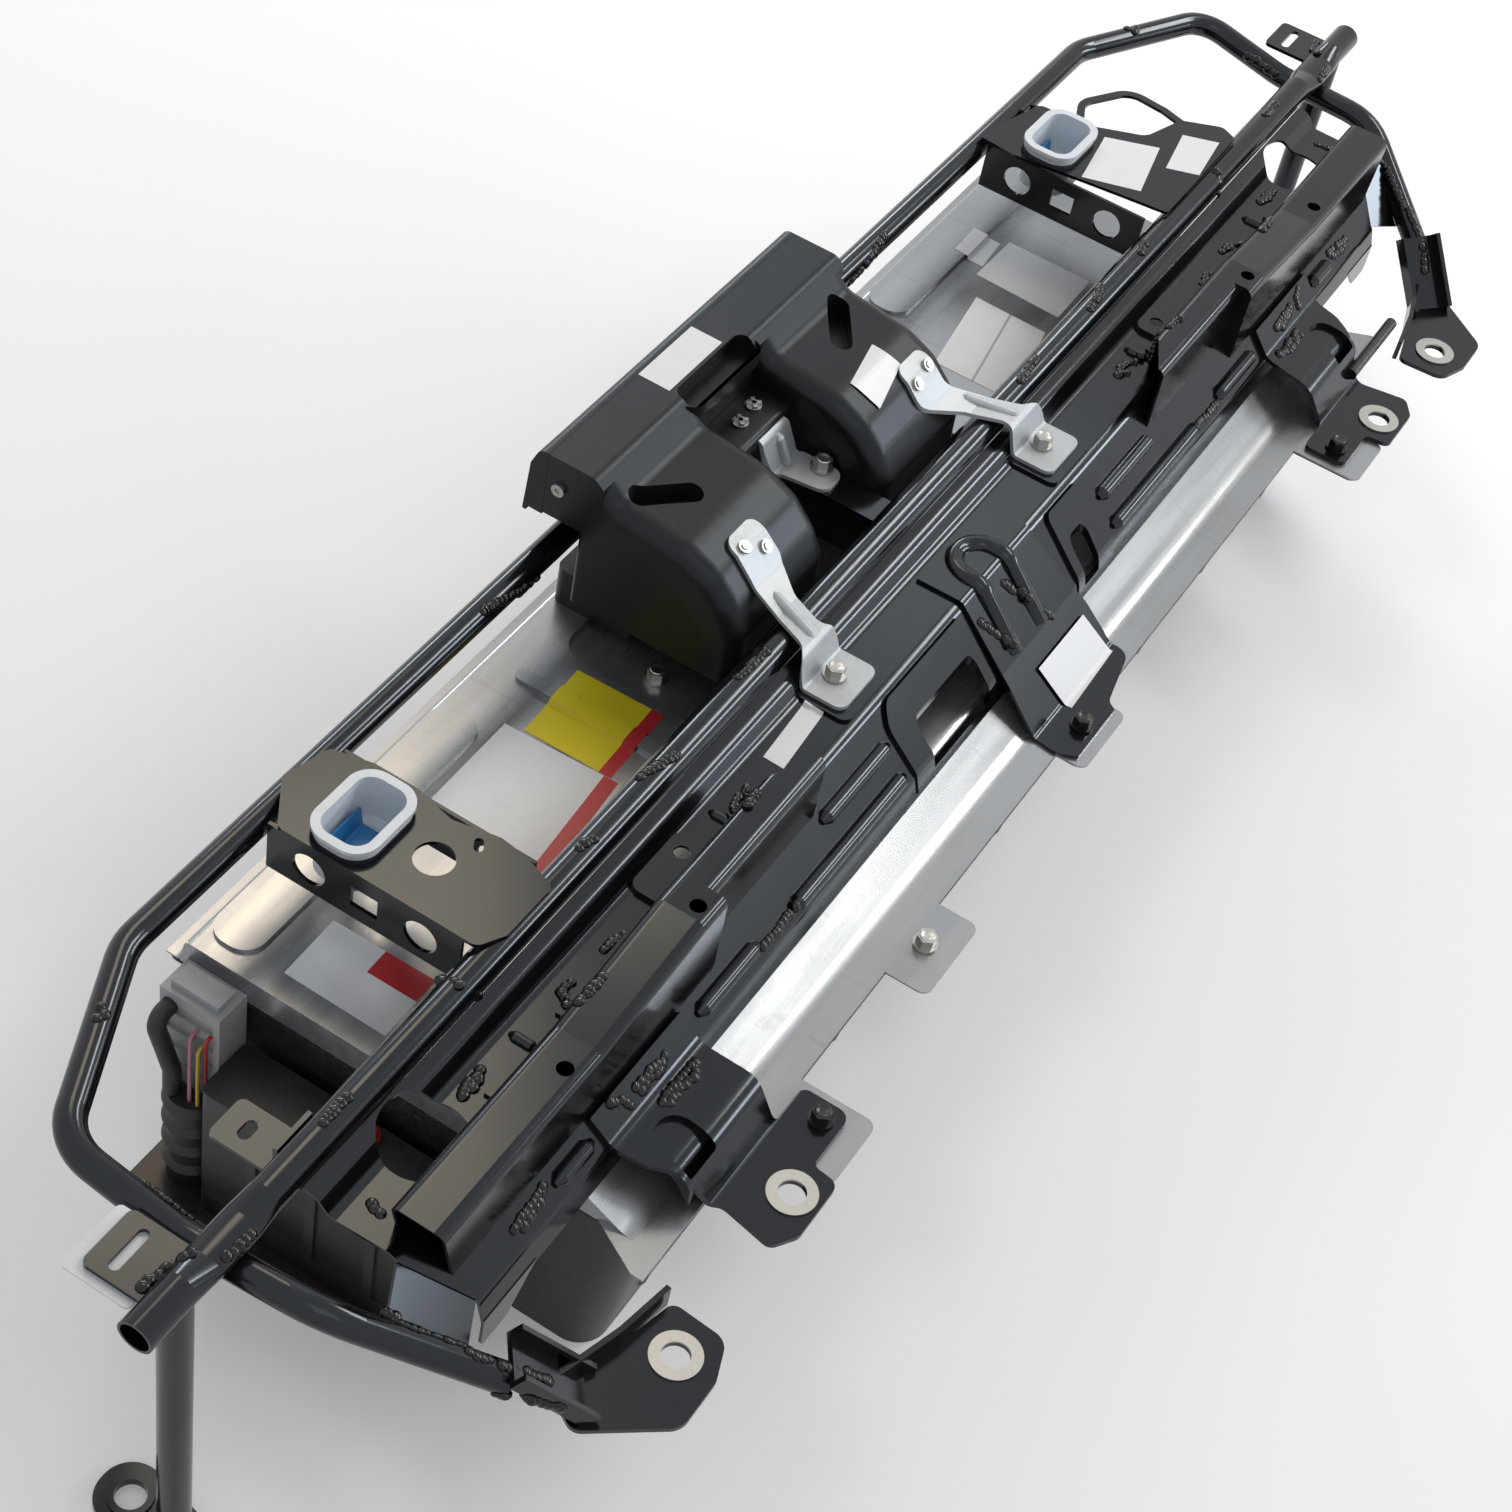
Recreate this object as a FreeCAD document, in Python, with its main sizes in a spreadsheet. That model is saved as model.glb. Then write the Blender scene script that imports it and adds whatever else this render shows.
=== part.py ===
import FreeCAD, Part
import math
import os
import re
import Sketcher

# High-voltage battery pack that fills the space under a rear bench seat.
# A welded seat frame of bent tube and pressed sheet carries a flat battery box
# below it and a moulded cooling-air duct at the middle of its rear side.
# X runs along the frame, Y to the rear and Z up. Every piece is drawn about
# the middle of the cross tube's axis and placed by the sheet's axis height.

Vector = FreeCAD.Vector

# Lengths in millimetres; distances to the front, rear and floor are positive.
SIZES = {
    # Gaps between pieces that seat on each other
    "seat_gap": 0.2,
    # Cross tube, pinched where the loop tube passes under it
    "axis_height": 218,
    "tube_length": 1340,
    "tube_outer": 19,
    "tube_wall": 1.6,
    "pinch_place": "=tube_length / 2 - 60",
    "pinch_length": 26,
    "pinch_ramp": 16,
    "pinch_thickness": 12.4,
    "pinch_spread": 21.5,
    # Loop tube: rear run, two rounded ends and a tail down to each corner foot
    "loop_outer": 16,
    "loop_wall": 1.5,
    "rear_tube_reach": 140,
    "rear_run_half": "=pinch_place - 101",
    "shoulder_place": "=pinch_place + 2",
    "shoulder_reach": 90,
    "tail_reach": 124,
    "tail_place": "=pinch_place - 50",
    "tail_drop": 60,
    "tail_bend": 50,
    "shoulder_bend": 28,
    "rear_bend": 40,
    # Standing legs below the cross tube's ends, and their eye plates
    "leg_place": "=tube_length / 2 - 27",
    "leg_outer": 17,
    "leg_wall": 1.8,
    "eye_plate_sheet": 4,
    "eye_reach": 27,
    "eye_hole": 16.5,
    "eye_plate_width": 36,
    # Slotted plates behind the cross tube's ends, and the tab near the left end
    "slot_plate_inner": "=pinch_place + 10",
    "slot_plate_outer": "=tube_length / 2 - 15",
    "slot_plate_reach": 43,
    "slot_plate_sheet": 2.5,
    "slot_length": 25,
    "slot_width": 6,
    "tab_place": "=pinch_place - 63",
    "tab_width": 26,
    "tab_reach": 50,
    "tab_rise": 4,
    "tab_drop": 18,
    "tab_slot_reach": 36,
    "tab_slot_length": 12,
    "tab_slot_width": 7,
    # Pressed front member
    "member_half": "=pinch_place - 44",
    "member_sheet": 1.6,
    "member_bend": 7,
    "member_bead_low": "=member_hole_place - 40",
    "ridge_drop": 3,
    "ridge_reach": 17,
    "band_drop": 12,
    "band_rear": 25,
    "band_front": 59,
    "face_reach": 94,
    "face_drop": 50,
    "lip_reach": 98,
    "lip_drop": 64,
    "bead_radius": 5,
    "pan_inner": "=member_half - 295",
    "pan_outer": "=pan_inner + 49",
    "pan_rear": 25,
    "pan_front": 47,
    "pan_height": 3,
    "step_outer": 126,
    "step_height": 3.5,
    "step_gap": 5,
    "pan_hole": 9,
    "pan_hole_place": "=pan_inner + 13",
    "pan_hole_reach": 35,
    "end_place": "=member_half - 25",
    "end_reach": 92,
    "wing_drop": 84,
    "gusset_sheet": 2,
    "member_hole": 46,
    "member_hole_place": "=member_half - 60",
    # Hat-shaped rails on the member
    "rail_inner": 206,
    "rail_outer": "=member_half - 10",
    "rail_top": 20,
    "rail_low_top": 10,
    "rail_ramp_start": "=rail_ramp_end - 89",
    "rail_ramp_end": "=rail_outer - 128",
    "rail_rear": 50,
    "rail_front": 80,
    "rail_neck_front": 71,
    "rail_neck_end": "=pan_outer - 2",
    "rail_sheet": 1.8,
    "rail_round": 6,
    "rail_flange": 9,
    "rail_hole": 9,
    "rail_hole_near": "=pan_outer + 11",
    "rail_hole_far": "=rail_outer - 110",
    "rail_hole_reach": 70,
    "rail_end_slant": 36,
    "rail_foot_slant": 16,
    # Saddle bracket at mid-length, over the member and down to the tray
    "saddle_left": 25,
    "saddle_right": 58,
    "saddle_sheet": 2,
    "saddle_tab_width": 46,
    "saddle_reach": 153,
    "saddle_bolt_reach": 143,
    "saddle_bead": 12,
    "saddle_bead_half": 16,
    # Feet in front, two at mid-span and two at the corners
    "foot_sheet": 3,
    "foot_bend": 3,
    "foot_hollow": 3.5,
    "mid_foot_inner": "=pan_inner + 53",
    "mid_foot_outer": "=mid_foot_inner + 92",
    "mid_foot_reach": 189,
    "mid_hole_place": "=mid_foot_inner + 59",
    "mid_hole_reach": 174,
    "foot_bolt_place": "=mid_foot_inner + 12",
    "foot_bolt_reach": 163,
    "corner_hole_place": "=tail_place - 70",
    "corner_hole_reach": 175,
    "corner_foot_reach": 198,
    "corner_foot_step": 4,
    "corner_channel": 30,
    "foot_hole": 15,
    "ring_outer": 27,
    "ring_height": 1.2,
    # Channel brackets between the two tubes
    "cup_bracket_inner": "=cup_place - 34",
    "cup_bracket_outer": "=cup_place + 30",
    "cup_bracket_sheet": 2.2,
    "cup_bracket_wall": 34,
    "light_hole": 22,
    "wing_reach": 50,
    "wing_place": "=member_half - 84",
    # Cushion hook sockets
    "cup_place": "=member_half - 182",
    "cup_reach": 94,
    "cup_length": 50,
    "cup_width": 34,
    "cup_corner": 12,
    "cup_wall": 2.6,
    "cup_depth": 32,
    "cup_rim_height": 7,
    "cup_rim": 2.5,
    "clip_sheet": 1.5,
    # Battery cover
    "cover_half": "=member_half - 114",
    "cover_top": 62,
    "cover_sheet": 1.2,
    "cover_front": 88,
    "cover_slope_run": 32,
    "cover_rear": 150,
    "flange_drop": 80,
    "flange_front": 141,
    "flange_rear": 162,
    "emboss_height": 2.4,
    "cover_bolt_place": 140,
    "cover_bolt_reach": 66,
    "tab_bolt_place": 200,
    "tab_bolt_reach": 149,
    "cover_pocket_depth": 3,
    # Battery tray
    "tray_sheet": 1.5,
    "tray_front": 131,
    "tray_rear": 151,
    "tray_half": "=cover_half - 4",
    "tray_draft": 7,
    "tray_front_draft": 22,
    "shelf_end": "=cover_half + 53",
    "shelf_lip": 14,
    "shelf_rear": 150,
    "shelf_slant": 28,
    "tray_rib_pitch": "=(tray_half - 48) / 4",
    "seal_height": 1,
    # Cell modules and what wires them
    "module_inner": 14,
    "module_outer": "=tray_half - 76",
    "module_front": 104,
    "module_rear": 96,
    "module_height": 126,
    "cell_pitch": 22.375,
    "cell_groove": 3,
    "end_plate": 5,
    "end_plate_gap": 0.3,
    "bus_bar_width": 18,
    "bus_bar_sheet": 2,
    "relay_height": 88,
    "relay_length": 56,
    "controller_height": 30,
    # Left end: junction box, signal connector, wires, loom and boot
    "end_box_depth": 38,
    "end_box_front": 44,
    "end_box_rear": 109,
    "end_box_top": 112,
    "end_box_field": 38,
    "connector_depth": 22,
    "connector_front": 110,
    "connector_rear": 148,
    "connector_top": 74,
    "connector_low": 144,
    "wire": 2.2,
    "loom": 10,
    "boot_outer": 34,
    # Cooling duct
    "duct_middle": -20,
    "duct_half": 130,
    "duct_rear": 158,
    "duct_top": 61,
    "duct_wall": 2.4,
    "duct_shoulder": 112,
    "lobe_gap": 64,
    "lobe_front": 17,
    "lobe_foot": 22,
    "lobe_round": 12,
    "duct_slot_length": 44,
    "duct_slot_width": 14,
    "chute_inset": 1.6,
    "chute_sheet": 2,
    "shaft_inset": 48,
    "neck_drop": 36,
    # Duct straps and fasteners
    "strap_sheet": 2.5,
    "strap_bolt_place": 125,
    "strap_bolt_reach": 33,
    "pad_height": 2,
    "shelf_sheet": 2.5,
    "mid_bolt_place": 6,
    "mid_bolt_reach": 55,
    "bolt_hex": 10,
    "bolt_head": 6,
    "bolt_flange": 14,
    "bolt_flange_height": 1.6,
    "bolt_shank": 6,
    "bolt_hole": 6.6,
    "rivet_head": 8,
    # Locating pin beside the right foot
    "pin_outer": 8,
    "pin_length": 72,
    "pin_root": "=mid_foot_outer - 12",
    "pin_reach": 142,
    "pin_drop": 68,
}

doc = FreeCAD.newDocument("battery_pack")
sheet = doc.addObject("Spreadsheet::Sheet", "Sizes")
for row, (word, number) in enumerate(SIZES.items(), start=1):
    sheet.set(f"A{row}", word)
    sheet.set(f"B{row}", str(number))
    sheet.setAlias(f"B{row}", word)
doc.recompute()

nodes = []


def cell(words):
    """Expression that reads the sheet, from plain words such as 'tube_outer / 2'."""
    return re.sub(
        r"[a-z][a-z_]*",
        lambda found: "Sizes." + found.group(0) if found.group(0) in SIZES else found.group(0),
        words,
    )


def size(words):
    """Number that an expression in the sheet's words gives now."""
    return float(sheet.evalExpression(cell(words)))


AXIS_HEIGHT = "axis_height"
AXIS_REACH = "(corner_foot_reach - flange_rear) / 2"


def seat(piece, label):
    """Put a finished piece at the cross tube's height and keep it as a node."""
    piece.Label = label
    piece.setExpression("Placement.Base.y", cell(AXIS_REACH))
    piece.setExpression("Placement.Base.z", cell(AXIS_HEIGHT))
    nodes.append(piece)
    return piece


def keep(label, shape):
    """Node whose form comes from Part's own functions."""
    piece = doc.addObject("Part::Feature", label)
    piece.Shape = shape
    return seat(piece, label)


# Sketched bodies


def new_body(label):
    return doc.addObject("PartDesign::Body", label)


def body_plane(body, role):
    return [feature for feature in body.Origin.OriginFeatures if feature.Role == role][0]


def new_sketch(body, role, lift):
    sketch = body.newObject("Sketcher::SketchObject", body.Name + "_sketch")
    sketch.AttachmentSupport = [(body_plane(body, role), "")]
    sketch.MapMode = "FlatFace"
    sketch.setExpression("AttachmentOffset.Base.z", cell(lift))
    return sketch


def pin_point(sketch, geometry, end, words):
    """Tie one point of a sketch to a pair of expressions."""
    for kind, text in zip(("DistanceX", "DistanceY"), words):
        rule = Sketcher.Constraint(kind, -1, 1, geometry, end, size(text))
        index = sketch.addConstraint(rule)
        sketch.setExpression(f"Constraints[{index}]", cell(text))


def outline_sketch(body, role, corners, lift="0"):
    """Closed sketch of straight sides whose corners are pairs of expressions."""
    sketch = new_sketch(body, role, lift)
    points = [Vector(size(u), size(v), 0) for u, v in corners]
    count = len(points)
    for index in range(count):
        sketch.addGeometry(Part.LineSegment(points[index], points[(index + 1) % count]), False)
    for index in range(count):
        rule = Sketcher.Constraint("Coincident", index, 2, (index + 1) % count, 1)
        sketch.addConstraint(rule)
    for index, words in enumerate(corners):
        pin_point(sketch, index, 1, words)
    return sketch


def circle_sketch(body, role, centres, diameter, lift="0"):
    """Circles of one diameter, their centres given as pairs of expressions."""
    sketch = new_sketch(body, role, lift)
    for index, (u, v) in enumerate(centres):
        middle = Vector(size(u), size(v), 0)
        sketch.addGeometry(Part.Circle(middle, Vector(0, 0, 1), size(diameter) / 2), False)
        rule = Sketcher.Constraint("Diameter", index, size(diameter))
        number = sketch.addConstraint(rule)
        sketch.setExpression(f"Constraints[{number}]", cell(diameter))
        pin_point(sketch, index, 3, (u, v))
    return sketch


def pad(body, sketch, length):
    feature = body.newObject("PartDesign::Pad", body.Name + "_pad")
    feature.Profile = sketch
    feature.setExpression("Length", cell(length))
    body.Tip = feature
    doc.recompute()
    return feature


def pocket(body, sketch, length=None):
    """Cut against the sketch's normal, right through where no length is given."""
    before = body.Shape.Volume
    feature = body.newObject("PartDesign::Pocket", body.Name + "_pocket")
    feature.Profile = sketch
    if length is None:
        feature.Type = "ThroughAll"
    else:
        feature.setExpression("Length", cell(length))
    body.Tip = feature
    doc.recompute()
    if not body.Shape.Volume < before - 1e-6:
        raise ValueError(f"{body.Name}: a pocket cut nothing")
    return feature


def round_edges(body, radius, along, chosen):
    """Round the edges that lie along a direction and whose middle is chosen."""
    base = body.Tip
    names = []
    for index, edge in enumerate(body.Shape.Edges, start=1):
        if len(edge.Vertexes) != 2 or not isinstance(edge.Curve, (Part.Line, Part.LineSegment)):
            continue
        run = edge.Vertexes[1].Point - edge.Vertexes[0].Point
        if run.cross(along).Length < 1e-6 * run.Length and chosen(edge.CenterOfMass):
            names.append(f"Edge{index}")
    feature = body.newObject("PartDesign::Fillet", body.Name + "_round")
    feature.Base = (base, names)
    feature.setExpression("Radius", cell(radius))
    body.Tip = feature
    doc.recompute()
    return feature


def round_top(body, radius, chosen):
    """Round every edge whose two ends are both chosen."""
    base = body.Tip
    names = []
    for index, edge in enumerate(body.Shape.Edges, start=1):
        if len(edge.Vertexes) == 2 and all(chosen(corner.Point) for corner in edge.Vertexes):
            if abs(edge.Vertexes[0].Point.y - edge.Vertexes[1].Point.y) < 0.01:
                names.append(f"Edge{index}")
    feature = body.newObject("PartDesign::Fillet", body.Name + "_round")
    feature.Base = (base, names)
    feature.setExpression("Radius", cell(radius))
    body.Tip = feature
    doc.recompute()
    return feature


ALONG_X = Vector(1, 0, 0)
ALONG_Y = Vector(0, 1, 0)
ALONG_Z = Vector(0, 0, 1)


def anywhere(point):
    return True


# Outlines, sheets and tubes from Part's own functions


def rounded_edges(points, radii, closed):
    """Straight runs through the points, each corner rounded by a tangent arc."""
    count = len(points)
    corners = []
    for index, point in enumerate(points):
        radius = radii[index]
        is_end = not closed and index in (0, count - 1)
        if radius <= 0 or is_end:
            corners.append((point, None, point))
            continue
        before = (points[index - 1] - point).normalize()
        after = (points[(index + 1) % count] - point).normalize()
        half = before.getAngle(after) / 2
        reach = radius / math.tan(half)
        middle = (before + after).normalize()
        enter = point + before * reach
        leave = point + after * reach
        crown = point + middle * (radius / math.sin(half) - radius)
        corners.append((enter, Part.Arc(enter, crown, leave), leave))
    edges = []
    for index, (enter, arc, leave) in enumerate(corners):
        if arc:
            edges.append(arc.toShape())
        if index == count - 1 and not closed:
            break
        following = corners[(index + 1) % count][0]
        if leave.distanceToPoint(following) > 1e-6:
            edges.append(Part.LineSegment(leave, following).toShape())
    return edges


def flat_face(points, radii=0):
    if not isinstance(radii, (list, tuple)):
        radii = [radii] * len(points)
    return Part.Face(Part.Wire(rounded_edges(points, radii, True)))


def plan_prism(outline, low, high, radii=0):
    """Upright prism over a plan outline of (x, y) points."""
    face = flat_face([Vector(x, y, low) for x, y in outline], radii)
    return face.extrude(Vector(0, 0, high - low))


def side_prism(outline, first, last, radii=0):
    """Prism along X over a side outline of (y, z) points."""
    face = flat_face([Vector(first, y, z) for y, z in outline], radii)
    return face.extrude(Vector(last - first, 0, 0))


def runs_at(line, index, closed):
    """Unit directions of the straight runs that meet at a corner of a line."""
    count = len(line)
    runs = []
    for start in (index - 1, index):
        if closed or 0 <= start < count - 1:
            u, v = line[start % count]
            du = line[(start + 1) % count][0] - u
            dv = line[(start + 1) % count][1] - v
            length = math.hypot(du, dv)
            runs.append((du / length, dv / length))
    return runs


def beside(line, distance, closed=False):
    """Line moved to its own left by a distance, its corners mitred."""
    moved = []
    for index, (u, v) in enumerate(line):
        runs = runs_at(line, index, closed)
        nu = sum(-run[1] for run in runs) / len(runs)
        nv = sum(run[0] for run in runs) / len(runs)
        stretch = distance / (nu * nu + nv * nv)
        moved.append((u + nu * stretch, v + nv * stretch))
    return moved


def shrunk(outline, inset):
    """Closed anticlockwise outline drawn inwards by a wall's thickness."""
    return beside(outline, inset, True)


def sheet_outline(line, thickness, bend):
    """Closed outline and corner radii of a bent sheet to the left of a line."""
    offset = beside(line, thickness)
    bends = bend if isinstance(bend, list) else [bend] * len(line)
    turns = []
    for index in range(len(line)):
        runs = runs_at(line, index, False)
        turns.append(runs[0][0] * runs[-1][1] - runs[0][1] * runs[-1][0])
    inner = []
    outer = []
    for turn, radius in zip(turns, bends):
        if abs(turn) < 1e-9:
            inner.append(0)
            outer.append(0)
        elif turn > 0:
            inner.append(radius + thickness)
            outer.append(radius)
        else:
            inner.append(radius)
            outer.append(radius + thickness)
    return list(line) + offset[::-1], inner + outer[::-1]


def bent_sheet(line, thickness, bend, first, last):
    """Sheet bent about X: a line of (y, z) points, thickened to its left."""
    outline, radii = sheet_outline(line, thickness, bend)
    return side_prism(outline, first, last, radii)


def under_sheet(line, thickness, bend, first, last, low=-160):
    """Everything below a bent sheet whose line runs to the front."""
    outline, radii = sheet_outline(line, thickness, bend)
    count = len(line)
    lower = outline[count:]
    closed = lower + [(lower[-1][0], low), (lower[0][0], low)]
    return side_prism(closed, first, last, radii[count:] + [0, 0])


def circle_wire(centre, normal, radius):
    return Part.Wire(Part.Circle(centre, normal, radius).toShape())


def swept_rod(points, radii, diameter):
    """Round rod along straight runs joined by tangent arcs."""
    edges = rounded_edges(points, radii, False)
    start = points[0]
    profile = circle_wire(start, points[1] - start, diameter / 2)
    return Part.Wire(edges).makePipeShell([profile], True, True)


def swept_tube(points, radii, outer, wall):
    return swept_rod(points, radii, outer).cut(swept_rod(points, radii, outer - 2 * wall))


def rod(start, end, diameter):
    run = end - start
    return Part.makeCylinder(diameter / 2, run.Length, start, run)


def box_between(low, high):
    corner = Vector(*low)
    span = Vector(*high) - corner
    return Part.makeBox(span.x, span.y, span.z, corner)


def bead_rod(start, end, radius):
    """Round ridge between two points, its ends tapered."""
    run = (end - start).normalize()
    shape = rod(start, end, 2 * radius)
    shape = shape.fuse(Part.makeCone(radius, radius * 0.4, radius, end, run))
    return shape.fuse(Part.makeCone(radius, radius * 0.4, radius, start, run * -1))


def slot_outline(centre, direction, length, width):
    """Corner points of an obround's box, to be rounded by half its width."""
    along = Vector(direction[0], direction[1], 0).normalize()
    across = Vector(-along.y, along.x, 0)
    corners = []
    for end, side in ((-1, -1), (1, -1), (1, 1), (-1, 1)):
        point = Vector(centre[0], centre[1], 0)
        point += along * (end * length / 2) + across * (side * width / 2)
        corners.append((point.x, point.y))
    return corners


def mirrored(shape):
    return shape.mirror(Vector(0, 0, 0), Vector(1, 0, 0))


def keep_pair(name, left_shape):
    """Left piece and its mirror image across the middle of the frame."""
    keep("left_" + name, left_shape)
    keep("right_" + name, mirrored(left_shape))


def copies(shape, places):
    """Separate solids: one copy of a fastener at each place."""
    return Part.makeCompound([shape.translated(Vector(*place)) for place in places])


SIDES = (("left", "-1"), ("right", "1"))


def outward(side, words):
    """Expression for a distance from the middle towards one end."""
    return f"{side} * ({words})"


# Cross tube


def pinched_rod(diameter, inset):
    """Cross tube's round form with an oval pinch near each end."""
    half = size("tube_length") / 2
    flat = size("pinch_length") / 2
    ramp = size("pinch_ramp")
    place = size("pinch_place")
    wide = size("pinch_spread") / 2 - inset
    thin = size("pinch_thickness") / 2 - inset
    plain = diameter / 2
    stations = []
    for side in (-1, 1):
        row = [
            (side * half, plain, plain),
            (side * (place + flat + ramp), plain, plain),
            (side * (place + flat), wide, thin),
            (side * (place - flat), wide, thin),
            (side * (place - flat - ramp), plain, plain),
        ]
        stations.extend(row if side < 0 else row[::-1])
    turn = FreeCAD.Rotation(Vector(0, 1, 0), Vector(0, 0, 1), Vector(1, 0, 0), "XYZ")
    wires = []
    for x, across, upright in stations:
        # A hair of ovalness keeps the round stations the same kind of curve
        curve = Part.Ellipse(Vector(0, 0, 0), max(across, upright + 1e-4), upright)
        wire = Part.Wire(curve.toShape())
        wire.Placement = FreeCAD.Placement(Vector(x, 0, 0), turn)
        wires.append(wire)
    return Part.makeLoft(wires, True, True)


def make_centre_tube():
    outer = size("tube_outer")
    wall = size("tube_wall")
    shape = pinched_rod(outer, 0).cut(pinched_rod(outer - 2 * wall, wall))
    keep("centre_tube", shape)


# Loop tube


def loop_points():
    """Bend points from the left tail, round the left end and along the rear."""
    under = -(size("pinch_thickness") + size("loop_outer")) / 2 - size("seat_gap")
    cross = size("pinch_place")
    left = [
        Vector(-size("tail_place"), -size("tail_reach"), -size("tail_drop")),
        Vector(-cross + 4, -52, under),
        Vector(-cross - 1, 22, under),
        Vector(-size("shoulder_place"), size("shoulder_reach"), 0),
        Vector(-size("rear_run_half"), size("rear_tube_reach"), 0),
    ]
    right = [Vector(-point.x, point.y, point.z) for point in left]
    return left + right[::-1]


def loop_radii():
    half = [0, size("tail_bend"), 60, size("shoulder_bend"), size("rear_bend")]
    return half + half[::-1]


def make_loop_tube():
    shape = swept_tube(loop_points(), loop_radii(), size("loop_outer"), size("loop_wall"))
    keep("loop_tube", shape)


def tube_space(clearance):
    """Both tubes made larger by a clearance, to cope sheet edges round them."""
    cross = pinched_rod(size("tube_outer") + 2 * clearance, -clearance)
    loop = swept_rod(loop_points(), loop_radii(), size("loop_outer") + 2 * clearance)
    return cross, loop


# Legs and eye plates


def make_legs(cross_space):
    place = size("leg_place")
    plate_top = size("eye_plate_sheet") - size("axis_height")
    foot = Vector(-place, 0, plate_top)
    head = Vector(-place, 0, 0)
    outer = rod(foot, head, size("leg_outer"))
    bore = rod(foot, head, size("leg_outer") - 2 * size("leg_wall"))
    keep_pair("leg", outer.cut(bore).cut(cross_space))


def make_eye_plates():
    place = size("leg_place")
    floor = -size("axis_height")
    half = size("eye_plate_width") / 2
    reach = size("eye_reach")
    top = floor + size("eye_plate_sheet")
    leg_radius = size("leg_outer") / 2
    outline = [
        (-place - half, reach + half),
        (-place - half, reach - 6),
        (-place - leg_radius - 2, -leg_radius - 3),
        (-place + leg_radius + 2, -leg_radius - 3),
        (-place + half, reach - 6),
        (-place + half, reach + half),
    ]
    plate = plan_prism(outline, floor, top, [half - 1, 6, 5, 5, 6, half - 1])
    eye = Vector(-place, reach, floor)
    rim = rod(eye, eye + Vector(0, 0, top - floor + 1.6), size("eye_hole") + 7)
    hole = rod(eye, eye + Vector(0, 0, 12), size("eye_hole"))
    keep_pair("eye_plate", plate.fuse(rim).cut(hole).removeSplitter())


# Slotted plates and the slotted tab


def obround_sketch(body, middle, length, width, lift):
    """Slot along X with round ends, tied to expressions."""
    sketch = new_sketch(body, "XY_Plane", lift)
    u, v = size(middle[0]), size(middle[1])
    radius = size(width) / 2
    reach = size(length) / 2 - radius
    up = Vector(0, 0, 1)
    right = Part.ArcOfCircle(Part.Circle(Vector(u + reach, v, 0), up, radius), -math.pi / 2, math.pi / 2)
    left = Part.ArcOfCircle(Part.Circle(Vector(u - reach, v, 0), up, radius), math.pi / 2, 1.5 * math.pi)
    sketch.addGeometry(right, False)
    sketch.addGeometry(left, False)
    top = Part.LineSegment(Vector(u + reach, v + radius, 0), Vector(u - reach, v + radius, 0))
    low = Part.LineSegment(Vector(u - reach, v - radius, 0), Vector(u + reach, v - radius, 0))
    sketch.addGeometry(top, False)
    sketch.addGeometry(low, False)
    for rule in ((0, 2, 2, 1), (2, 2, 1, 1), (1, 2, 3, 1), (3, 2, 0, 1)):
        sketch.addConstraint(Sketcher.Constraint("Tangent", *rule))
    number = sketch.addConstraint(Sketcher.Constraint("Radius", 0, radius))
    sketch.setExpression(f"Constraints[{number}]", cell(f"({width}) / 2"))
    half_run = f"(({length}) - ({width})) / 2"
    pin_point(sketch, 0, 3, (f"{middle[0]} + {half_run}", middle[1]))
    pin_point(sketch, 1, 3, (f"{middle[0]} - {half_run}", middle[1]))
    return sketch


def make_slot_plates():
    wide = "pinch_spread / 2 + seat_gap"
    plain = "tube_outer / 2 + seat_gap"
    for name, side in SIDES:
        body = new_body(name + "_slot_plate")
        inner = outward(side, "slot_plate_inner")
        outer = outward(side, "slot_plate_outer")
        corners = [
            (inner, wide),
            (outward(side, "pinch_place + pinch_length / 2"), wide),
            (outward(side, "pinch_place + pinch_length / 2 + pinch_ramp"), plain),
            (outer, plain),
            (outer, "slot_plate_reach"),
            (inner, "slot_plate_reach"),
        ]
        pad(body, outline_sketch(body, "XY_Plane", corners, "-slot_plate_sheet"), "slot_plate_sheet")
        middle = (outward(side, "(slot_plate_inner + slot_plate_outer) / 2"), "slot_plate_reach - 13")
        pocket(body, obround_sketch(body, middle, "slot_length", "slot_width", "1"))
        rear = size("slot_plate_reach")
        round_edges(body, "4", ALONG_Z, lambda point: point.y > rear - 1)
        seat(body, body.Name)


def make_slot_tab():
    """Bent tab that hangs behind the cross tube near its left end."""
    body = new_body("slot_tab")
    near = "tube_outer / 2 + seat_gap"
    low = "-tab_drop - slot_plate_sheet"
    profile = [
        (near, "tab_rise"),
        (near, low),
        ("tab_reach", low),
        ("tab_reach", "-tab_drop"),
        (f"{near} + slot_plate_sheet", "-tab_drop"),
        (f"{near} + slot_plate_sheet", "tab_rise"),
    ]
    pad(body, outline_sketch(body, "YZ_Plane", profile, "-tab_place - tab_width / 2"), "tab_width")
    middle = ("-tab_place", "tab_slot_reach")
    slot = obround_sketch(body, middle, "tab_slot_length", "tab_slot_width", "-tab_drop + 1")
    pocket(body, slot, "slot_plate_sheet + 2")
    rear = size("tab_reach")
    round_edges(body, "4", ALONG_Z, lambda point: point.y > rear - 1)
    seat(body, "slot_tab")


# Front member


def member_line():
    """Top of the member's section, from the cross tube forwards."""
    return [
        (-size("tube_outer") / 2 - size("seat_gap"), -size("ridge_drop") + 1),
        (-size("ridge_reach"), -size("ridge_drop")),
        (-size("band_rear"), -size("band_drop")),
        (-size("band_front"), -size("band_drop")),
        (-size("face_reach"), -size("face_drop")),
        (-size("lip_reach"), -size("lip_drop")),
    ]


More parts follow.
